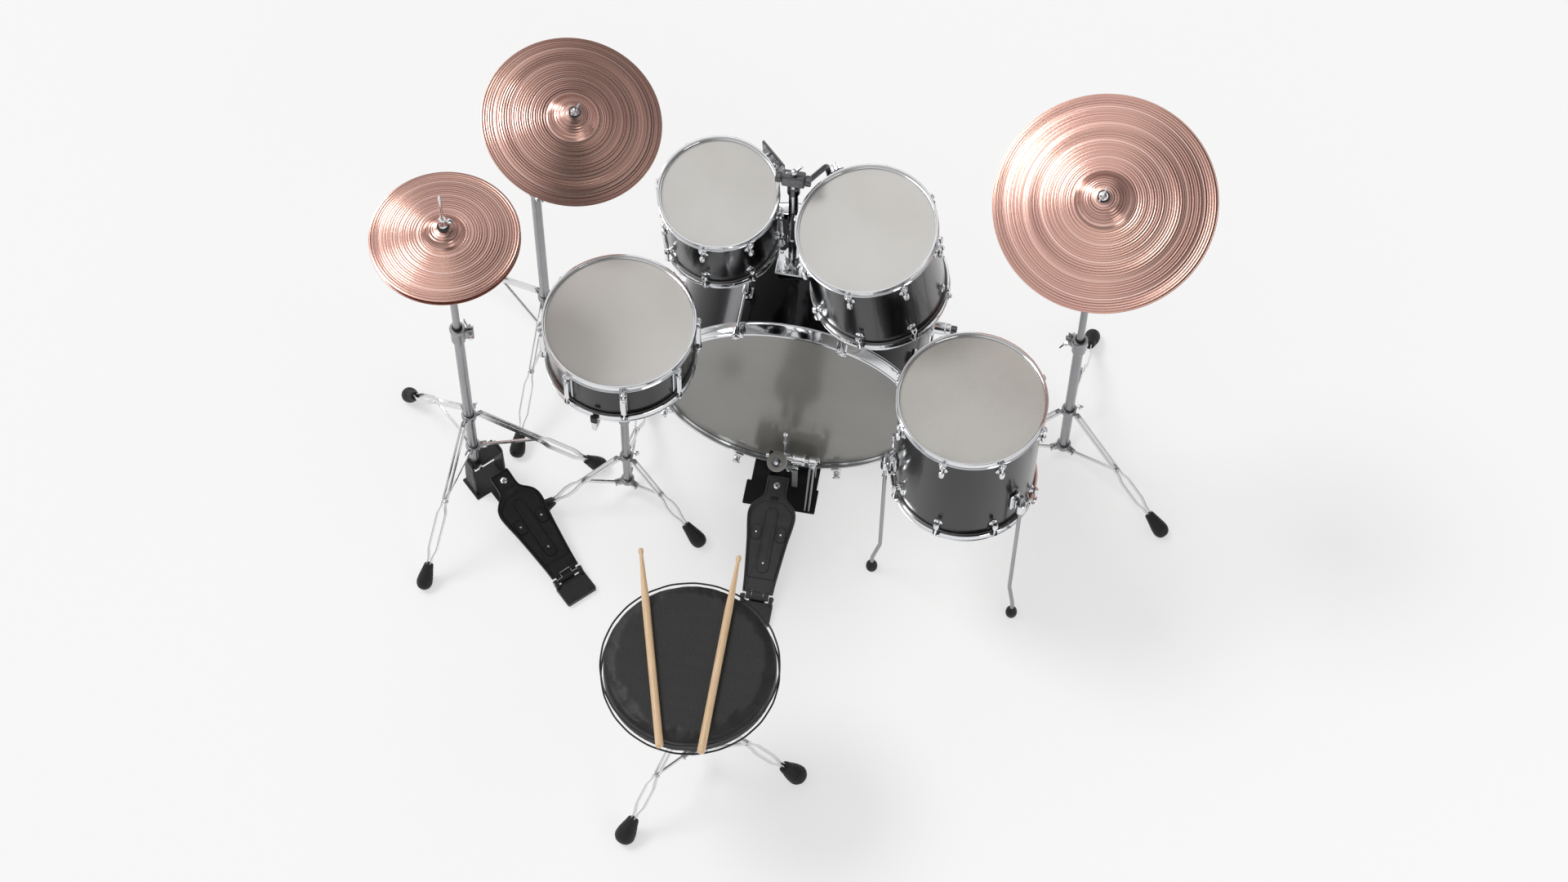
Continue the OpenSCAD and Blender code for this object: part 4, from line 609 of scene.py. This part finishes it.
# ------------------------------------------------------------------ hi-hat
b = B(); b.push(T(-690, -172, 0)); b.lathe([(3.6, 500), (7.5, 500), (8, 500.6), (8, 1008), (3.6, 1008)], iSAT, 40, True)
b.lathe([(3.6, 1008), (9, 1008), (15, 1014), (16, 1017), (16, 1025), (14.6, 1028), (3.6, 1028)], iCH, 48, True)
b.lathe([(3.6, 1028), (5.4, 1028), (5.4, 1050), (3.6, 1050)], iCH, 32, True)
b.lathe([(5.5, 1028.2), (13.2, 1028.2), (14, 1029.4), (14, 1032.6), (13, 1033.6), (5.5, 1033.6)], iFLT, 40, True); b.pop()
b.done("hihat_upper_pole", "hihat_upper", ("hihat_upper_tube",))
b = B(); b.push(T(-690, -172, 0)); b.lathe([(0, 132), (3.2, 133), (3.2, 1229), (2.2, 1231.6), (0, 1232)], iCH, 24)
b.lathe([(3.3, 1085), (5.4, 1085), (5.4, 1114.4), (3.3, 1114.4)], iCH, 32, True)
b.lathe([(3.3, 1114.6), (12, 1114.6), (13, 1116), (13, 1120), (11.8, 1121.6), (3.3, 1121.6)], iFLT, 40, True)
b.lathe([(3.3, 1121.7), (8.6, 1121.7), (9, 1124), (6.8, 1128), (6.4, 1134), (8, 1136), (8, 1146), (6.6, 1148.4), (3.3, 1148.6)], iCH, 40, True)
b.push(T(7, 0, 1141), RY(90), RZ(40)); b.cyl(2.6, -2, 6, iCH, 16); b.push(T(0, 0, 5)); b.wing(iCH, 15, 9, 2.8); b.pop(); b.pop(); b.pop()
b.done("hihat_rod_clutch", "hihat_rod", ("hihat_pull_rod",))

# ------------------------------------------------------------------ pedals
def outline_inset(p, d):
    n = len(p); res = []
    for i in range(n):
        a, q, c = Vector(p[i - 1]), Vector(p[i]), Vector(p[(i + 1) % n]); u, v = (q - a).normalized(), (c - q).normalized()
        nu, nv = Vector((u.y, -u.x)), Vector((v.y, -v.x)); k = max(0.4, 1 + nu.dot(nv)); res.append(tuple(q + (nu + nv) * d / k))
    return res
def loops(b, Ls, zs, m):
    # stack of equal-length outlines joined into one closed skin
    n = len(Ls[0]); v = []
    for Lp, z in zip(Ls, zs): v += [(x, y, z) for x, y in Lp]
    k = len(Ls) - 1
    f = [tuple(range(n))] + [(j * n + i, (j + 1) * n + i, (j + 1) * n + (i + 1) % n, j * n + (i + 1) % n) for j in range(k) for i in range(n)] + [tuple(range((k + 1) * n - 1, k * n - 1, -1))]
    b.add(v, f, m)
def rrect(x0, y0, x1, y1, r, n=6):
    out = []
    for cx, cy, a0 in ((x1 - r, y1 - r, 0), (x0 + r, y1 - r, 90), (x0 + r, y0 + r, 180), (x1 - r, y0 + r, 270)):
        out += [(cx + r * math.cos(math.radians(a0 + 90 * i / n)), cy + r * math.sin(math.radians(a0 + 90 * i / n))) for i in range(n + 1)]
    return out
def footboard(b, tilt, base, edge):
    half = smooth_prof([(-35, 12), (-37, 40), (-41.5, 84), (-47, 132), (-51.5, 160), (-54.6, 183), (-54.4, 197), (-50, 211), (-41, 222), (-31, 231), (-25.6, 239), (-24, 250)], 3)
    out = [(-34, 10)] + half + [(-24, 276), (-23.4, 282), (-21, 284)]
    out = out + [(-x, y) for x, y in out[::-1]]
    b.push(RX(tilt))
    L = lambda d: outline_inset(out, d)
    # cast body: round lip, then a step down to the tread
    loops(b, [L(1.4), L(0.2), out, L(0.5), L(1.3), L(2.6), L(3.4), L(4.2)], [0, 1.0, 7.0, 8.6, 9.2, 9.2, 8.6, 5.2], base)
    # sunken tread panel that ends in a cross line ahead of the heel
    pan = [(-x_, y_) for x_, y_ in ((31, 44), (33.6, 70), (37.6, 104), (42, 142), (46, 170), (47.8, 186), (46.6, 197), (41, 206), (31, 215), (21, 223))]
    pan = pan + [(-x, y) for x, y in pan[::-1]]
    ring_o, ring_i = pan, outline_inset(pan, 1.6)
    n = len(pan); v = [(x, y, 5.1) for x, y in outline_inset(pan, -1.2)] + [(x, y, 6.7) for x, y in pan] + [(x, y, 6.7) for x, y in outline_inset(pan, 0.8)] + [(x, y, 5.1) for x, y in outline_inset(pan, 2.2)]
    b.add(v, [(j * n + i, (j + 1) * n + i, (j + 1) * n + (i + 1) % n, j * n + (i + 1) % n) for j in range(3) for i in range(n)], edge)
    # centre bar: a raised oval rail round a long flat, one bolt near the heel end
    R0 = rrect(-11, 60, 11, 208, 10)
    loops(b, [R0, outline_inset(R0, 0.8), outline_inset(R0, 2.4), outline_inset(R0, 3.4)], [5.0, 8.4, 8.4, 6.4], base)
    R1 = rrect(-4.4, 74, 4.4, 202, 4.2); loops(b, [R1, outline_inset(R1, 0.8)], [6.2, 7.6], base)
    for x_, y_, sx in ((-28, 150, 1), (28, 150, 1)):
        R2 = rrect(x_ - 8, y_ - 15, x_ + 8, y_ + 15, 5); loops(b, [R2, outline_inset(R2, 1.0), outline_inset(R2, 2.4), outline_inset(R2, 3.2)], [5.0, 8.2, 8.2, 6.8], base)
    for x_, y_ in ((-28, 150), (28, 150), (0, 80)):
        b.push(T(x_, y_, 6.4)); b.lathe([(0, 2.3), (1.5, 2.2), (2.5, 1.4), (2.7, 0), (0, 0)], iCH, 20); b.pop()
    # toe: slot across the neck, then the strap bolt
    R3 = rrect(-9, 229, 9, 236, 2.4); loops(b, [R3, outline_inset(R3, 0.8)], [5.0, 5.7], iRUB)
    R4 = rrect(-18, 244, 18, 280, 3); loops(b, [R4, outline_inset(R4, 1.0)], [5.0, 6.6], base)
    b.push(T(0, 262, 6.2)); b.lathe([(0, 6.2), (2.2, 6.2), (3.0, 5.0), (3.6, 3.6), (5.4, 2.8), (7.6, 2.2), (7.8, 1.2), (7.8, 0), (0, 0)], iCH, 40); b.pop()
    # heel hinge: interlocking square tongue with a thin bright edge
    b.box((-12, -3, 0.4), (12, 14, 7.2), base, 1.2)
    for x_ in (-26, 13): b.box((x_, 3.6, 0.4), (x_ + 13, 16, 7.0), base, 1.2)
    for p_, q_ in (((-13.2, 3, 7.1), (-13.2, 14.6, 7.1)), ((13.2, 3, 7.1), (13.2, 14.6, 7.1)), ((-13.2, 15, 7.1), (13.2, 15, 7.1)), ((-26, 2.8, 7.1), (-13.2, 2.8, 7.1)), ((13.2, 2.8, 7.1), (26, 2.8, 7.1))):
        b.bar(p_, q_, 0.55, iCH, 8)
    b.push(T(0, 0, 3), RY(90)); b.cyl(5.2, -26, 26, base, 28); b.pop()
    b.pop()
    b.push(T(0, 0, 3), RY(90)); b.cyl(2.1, -40, 40, iCH, 20); b.pop()
def heel(b, y0, cx, m):
    # thick plain heel plate with hinge lugs; y0 is the hinge line
    b.prism([(cx - 38, y0 - 56), (cx - 36, y0 - 60), (cx + 36, y0 - 60), (cx + 38, y0 - 56), (cx + 38, y0 - 10), (cx + 36, y0 - 6.4), (cx - 36, y0 - 6.4), (cx - 38, y0 - 10)], 0, 14, m, 1.4)
    for s_ in (-1, 1):
        x_ = cx + s_ * 32; b.push(T(x_ - 4.5, 0, 0)); b.push(Matrix(((0, 0, 1, 0), (1, 0, 0, 0), (0, 1, 0, 0), (0, 0, 0, 1))))
        b.prism([(y0 - 16, 7), (y0 - 14, 18), (y0 - 6, 25.6), (y0 + 2, 26), (y0 + 5.4, 22.5), (y0 + 5.4, 14), (y0 + 2, 7)], 0, 9, m, 1.0); b.pop(); b.pop()
        b.push(T(x_ + s_ * 4.4, y0, 20.5), RY(s_ * 90)); b.lathe([(0, 0), (4.4, 0), (4.4, 2), (3.2, 3), (0, 3)], iCH, 6); b.pop()
b = B(); b.push(T(-9, -350, 17.5)); footboard(b, 14.4, iGRY, iGRY); b.pop(); b.done("kick_footboard_plate", "kick_footboard", ("kick_footboard",))
YAW = T(-690, -172, 0) @ RZ(46)
b = B(); b.push(YAW, T(30, -320, 17.5)); footboard(b, 14.4, iBLK, iBLK); b.pop(); b.done("hihat_footboard_plate", "hihat_footboard", ("hihat_footboard",))
b = B()
b.prism([(-87, -108), (-85, -110), (-27, -110), (-27, -352), (9, -352), (9, -110), (78, -110), (80, -108), (80, -50), (78, -48), (75, -48), (75, 26), (73, 28), (-75, 28), (-77, 26), (-77, -48), (-85, -48), (-87, -50)], 0, 4, iBLK, 0.8)
heel(b, -350, -9, iGRY)
XZ = Matrix(((0, 0, 1, 0), (1, 0, 0, 0), (0, 1, 0, 0), (0, 0, 0, 1)))
for x_, mt in ((-34.5, iBLK),):
    b.push(T(x_ - 3.5, 0, 0), XZ)
    b.prism([(-51, 4.1), (-47, 60), (-46.6, 108), (-45, 116), (-41, 121.6), (-35, 124), (-29, 121.6), (-25, 116), (-23.4, 108), (-23, 60), (-19, 4.1)], 0, 7, mt, 1.2); b.pop()
# right side: two slim satin posts leaning back from the base to a polished bracket
for x_ in (57, 66):
    b.push(T(x_ - 2.2, 0, 0), XZ); b.prism([(-106, 3.9), (-96, 3.9), (-31, 106), (-31, 116), (-39, 116), (-41, 108)], 0, 4.4, iSAT, 0.9); b.pop()
b.box((54.8, -22, 3.9), (68.2, -14, 104), iSAT, 1.4)
b.push(T(61.5, -35, 112), RY(90)); b.lathe([(0, -8.6), (11, -8.6), (12.6, -7.4), (12.6, 7.4), (11, 8.6), (0, 8.6)], iCH, 48); b.pop()
b.box((54.6, -52, 103), (68.4, -38, 118), iCH, 2.4); b.box((68, -34, 106), (78, -24, 117), iCH, 1.6)
b.box((17, -50, 3.9), (30, -46.5, 92), iSTR, 1.2); b.box((15.5, -51.5, 86), (31.5, -44, 96), iCH, 1.6)
# clamp on the hoop
b.box((-33, -23, 4.1), (15, -13, 26), iCH, 2.4); b.box((-33, -13, 4.1), (15, 20, 20), iCH, 2.4)
b.box((-30, -31, 96), (14, -24.6, 116), iCH, 2.2)
b.push(T(-4, -19, 0)); b.cyl(3, 24, 190, iCH, 20); b.lathe([(0, 189), (4.4, 189), (5.6, 190), (5.6, 194.6), (4.6, 197.6), (2.6, 199.6), (0, 200.3)], iCH, 32); b.lathe([(3, 24), (7, 24), (7.4, 32), (5, 36), (3, 36)], iCH, 6, True)
b.lathe([(3, 150), (5, 150), (5.2, 151), (5.2, 158), (5, 159), (3, 159)], iCH, 28, True); b.pop()
b.done("kick_frame_set", "kit_base", ("kick_frame",))
d = Vector((0, -0.559, 0.829)).normalized(); c = Vector((-9, -35, 112))
b = B(); b.push(T(0, -35, 112), RY(90)); b.cyl(6, -45, 73, iCH, 32); b.lathe([(0, -18.6), (11, -18.6), (12, -17.6), (12, -0.6), (11, 0), (0, 0)], iCH, 40)
b.lathe([(0, 8), (8.4, 8), (9, 8.6), (9, 13), (0, 13)], iCH, 32)
b.lathe([(0, 15), (13.6, 15), (15, 16.4), (15, 22), (12.4, 23), (12.4, 37), (15, 38), (15, 43.6), (13.6, 45), (0, 45)], iCH, 48); b.pop()
b.bar(c, c + d * 108, 4, iCH)
b.push(AIM(c, d), T(0, 0, 0)); b.box((-7, -7, 6), (7, 7, 24), iCH, 2); b.pop()
# felt head round the shaft, washer and screw on top
b.push(AIM(c, d))
b.lathe([(4.2, 96), (12, 96), (16, 96.8), (19.6, 99), (21.4, 102.4), (22, 107), (22, 128), (21.6, 132.6), (20, 136.4), (17, 138.8), (13, 139.8), (9.6, 140), (9.4, 139.2), (0, 139.2), (0, 110), (4.2, 110)], iLF, 64, True)
b.lathe([(0, 139), (10, 139), (10.6, 139.8), (10.4, 141), (8.6, 141.8), (5, 142), (4.6, 142.4), (0, 142.4)], iDCH, 40)
b.lathe([(0, 142), (4.4, 142), (4.6, 142.6), (4.4, 144.6), (3.4, 145.4), (1.6, 145.2), (1.2, 144), (0, 144)], iCH, 32); b.pop()
b.done("kick_beater_set", "kick_beater", ("kick_beater",))
# hi-hat pedal frame
b = B(); b.push(YAW)
b.prism([(-24, -34), (-24, 28), (-22, 30), (64, 30), (66, 28), (66, -34), (48, -34), (48, -322), (12, -322), (12, -34)], 0, 4, iBLK, 0.8)
heel(b, -320, 30, iBLK)
for x_ in (-19, 58):
    b.push(T(x_, 0, 0), XZ)
    b.prism([(-22, 4.1), (-20, 60), (-17, 118), (-12, 125), (12, 125), (17, 118), (20, 60), (22, 4.1)], 0, 6, iBLK, 1.2); b.pop()
b.prism([(-13, -20), (58, -20), (58, 20), (-13, 20)], 112, 125, iBLK, 1.6)
b.push(T(0, -20, 118), RX(90)); b.lathe([(0, 0), (6, 0), (6, 3), (4.6, 4.4), (0, 4.4)], iCH, 6); b.pop()
b.pop(); b.done("hihat_pedal_set", "kit_base", ("hihat_pedal_frame",))

# ------------------------------------------------------------------ throne
b = B(); b.push(T(-76, -764, 0)); tripod(b, [1.2, 121.2, 241.2], 30, 255, 236, 15, 140, 28, 90, 1.5, 14); tube_part(b, 14, 11.3, 76, 332); clamp(b, 286, 340, 14, 11.3, 60); b.pop()
b.done("throne_base", "kit_base", ("throne_tripod",))
b = B(); b.push(T(-76, -764, 0)); b.cyl(11, 180, 451.8, iSAT, 40); b.lathe([(0, 440), (16, 440), (17, 441.4), (17, 450), (15, 451.8), (0, 451.8)], iCH, 48); b.pop()
b.done("throne_column", "throne_post", ("throne_post",))
b = B()
b.lathe([(0, 452.3), (56, 452.3), (60, 454), (60, 460), (40, 463), (0, 466)], 0, 64)
b.done("throne_seat_plate", "throne_seat", (), [BLK], T(-76, -764, 0))
sr = 189
b = B()
core = [(0, 466), (60, 466), (120, 466), (172, 466.4), (sr - 7, 468), (sr - 3.4, 471), (sr - 2.4, 476), (sr - 2.6, 484), (sr - 3, 494), (sr - 2.8, 504), (sr - 3.6, 511), (sr - 7, 517.6), (sr - 13, 522.6), (sr - 22, 525.6), (sr - 40, 526.6), (120, 527), (70, 527.2), (0, 527.2)]
b.lathe(core, 0, 96)
seat = b.done("throne_seat_pad", "throne_seat", ("throne_cushion",), [LEA], T(-76, -764, 0), 180)
def settle(o, cap, top, pressure=4.0):
    """Cushion recipe: remesh, a short pressure-driven cloth run, then a capped result"""
    me = o.data; bm = bmesh.new(); bm.from_mesh(me); bmesh.ops.remove_doubles(bm, verts=bm.verts, dist=1e-6); bm.to_mesh(me); bm.free()
    rm = o.modifiers.new("remesh", "REMESH"); rm.mode = "VOXEL"; rm.voxel_size = 0.006
    bpy.context.view_layer.objects.active = o
    with bpy.context.temp_override(object=o, active_object=o, selected_objects=[o]): bpy.ops.object.modifier_apply(modifier=rm.name)
    rest = [v.co.copy() for v in o.data.vertices]
    cl = o.modifiers.new("cloth", "CLOTH"); st = cl.settings
    st.quality = 6; st.mass = 0.4; st.tension_stiffness = 22; st.compression_stiffness = 22; st.shear_stiffness = 8; st.bending_stiffness = 1.2
    st.use_pressure = True; st.uniform_pressure_force = pressure; st.effector_weights.gravity = 0.0
    cl.collision_settings.use_collision = False; cl.point_cache.frame_start = 1; cl.point_cache.frame_end = 20
    sc = bpy.context.scene
    for fr in range(1, 21): sc.frame_set(fr)
    with bpy.context.temp_override(object=o, active_object=o, selected_objects=[o]): bpy.ops.object.modifier_apply(modifier=cl.name)
    sc.frame_set(1)
    for v, r0 in zip(o.data.vertices, rest):
        dv = v.co - r0
        if dv.length > cap: v.co = r0 + dv * (cap / dv.length)
        v.co.z = min(v.co.z, top - 0.0004); v.co.z = max(v.co.z, 0.4662)
        rr = math.hypot(v.co.x, v.co.y)
        if rr > 0.1886: v.co.x *= 0.1886 / rr; v.co.y *= 0.1886 / rr
    sb = o.modifiers.new("smooth", "SUBSURF"); sb.levels = sb.render_levels = 1
    for p in o.data.polygons: p.use_smooth = True
settle(seat, 0.005, 0.530)
# piping round the top and bottom edges
b = B()
for z_, r_ in ((514.5, sr - 2.2), (473.5, sr - 2.6)):
    pts = [((r_ + 0.25 * math.sin(23 * t)) * math.cos(t), (r_ + 0.25 * math.sin(23 * t)) * math.sin(t), z_ + 0.25 * math.sin(17 * t)) for t in [2 * math.pi * i / 180 for i in range(181)]]
    b.tube(pts, 2.0, 0, 10, False)
b.done("throne_seat_piping", "throne_seat", (), [LEA], T(-76, -764, 0), 60)

# ------------------------------------------------------------------ sticks
def stick(name, body, rep, tip, butt):
    b = B(); R = 8.5
    nose = smooth_prof([(0, 0), (2.6, 0.5), (4.6, 2.6), (5.7, 6.4), (5.5, 10), (4.5, 14), (4.0, 17), (4.2, 24), (5.0, 45), (6.1, 72), (7.4, 100), (R, 130)], 6)
    b.lathe(nose + [(R, 200), (R, 300), (R, 452), (R - 0.5, 455.6), (R - 1.6, 458.2), (R - 3.6, 459.7), (R - 6, 460), (0, 460)], 0, 40)
    t, u = Vector(tip), Vector(butt)
    b.done(name, body, (rep,), [MPL], AIM(t, u - t), 50)
stick("drumstick_left_wood", "stick_left", "drumstick_left", (-226.5, -530, 538.9), (-95.5, -984, 538.9))
stick("drumstick_right_wood", "stick_right", "drumstick_right", (-18.8, -510, 538.9), (-13.8, -984, 538.9))

# ------------------------------------------------------------------ floor
me = bpy.data.meshes.new("floor"); s = 30
me.from_pydata([(-s, -s, -0.0004), (s, -s, -0.0004), (s, s, -0.0004), (-s, s, -0.0004)], [], [(0, 1, 2, 3)])
fm, nt, bb = new_mat("floor_paint", (0.46, 0.46, 0.46), 0.0, 0.8)
bb.inputs["Emission Color"].default_value = (1, 1, 1, 1); bb.inputs["Emission Strength"].default_value = 0.545
bb.inputs["Specular IOR Level"].default_value = 0.12
floor = bpy.data.objects.new("floor", me); me.materials.append(fm); bpy.context.scene.collection.objects.link(floor)
bpy.context.scene.view_settings.view_transform = "Standard"
bpy.context.scene.view_settings.look = "None"
bpy.context.scene.view_settings.exposure = 0.0
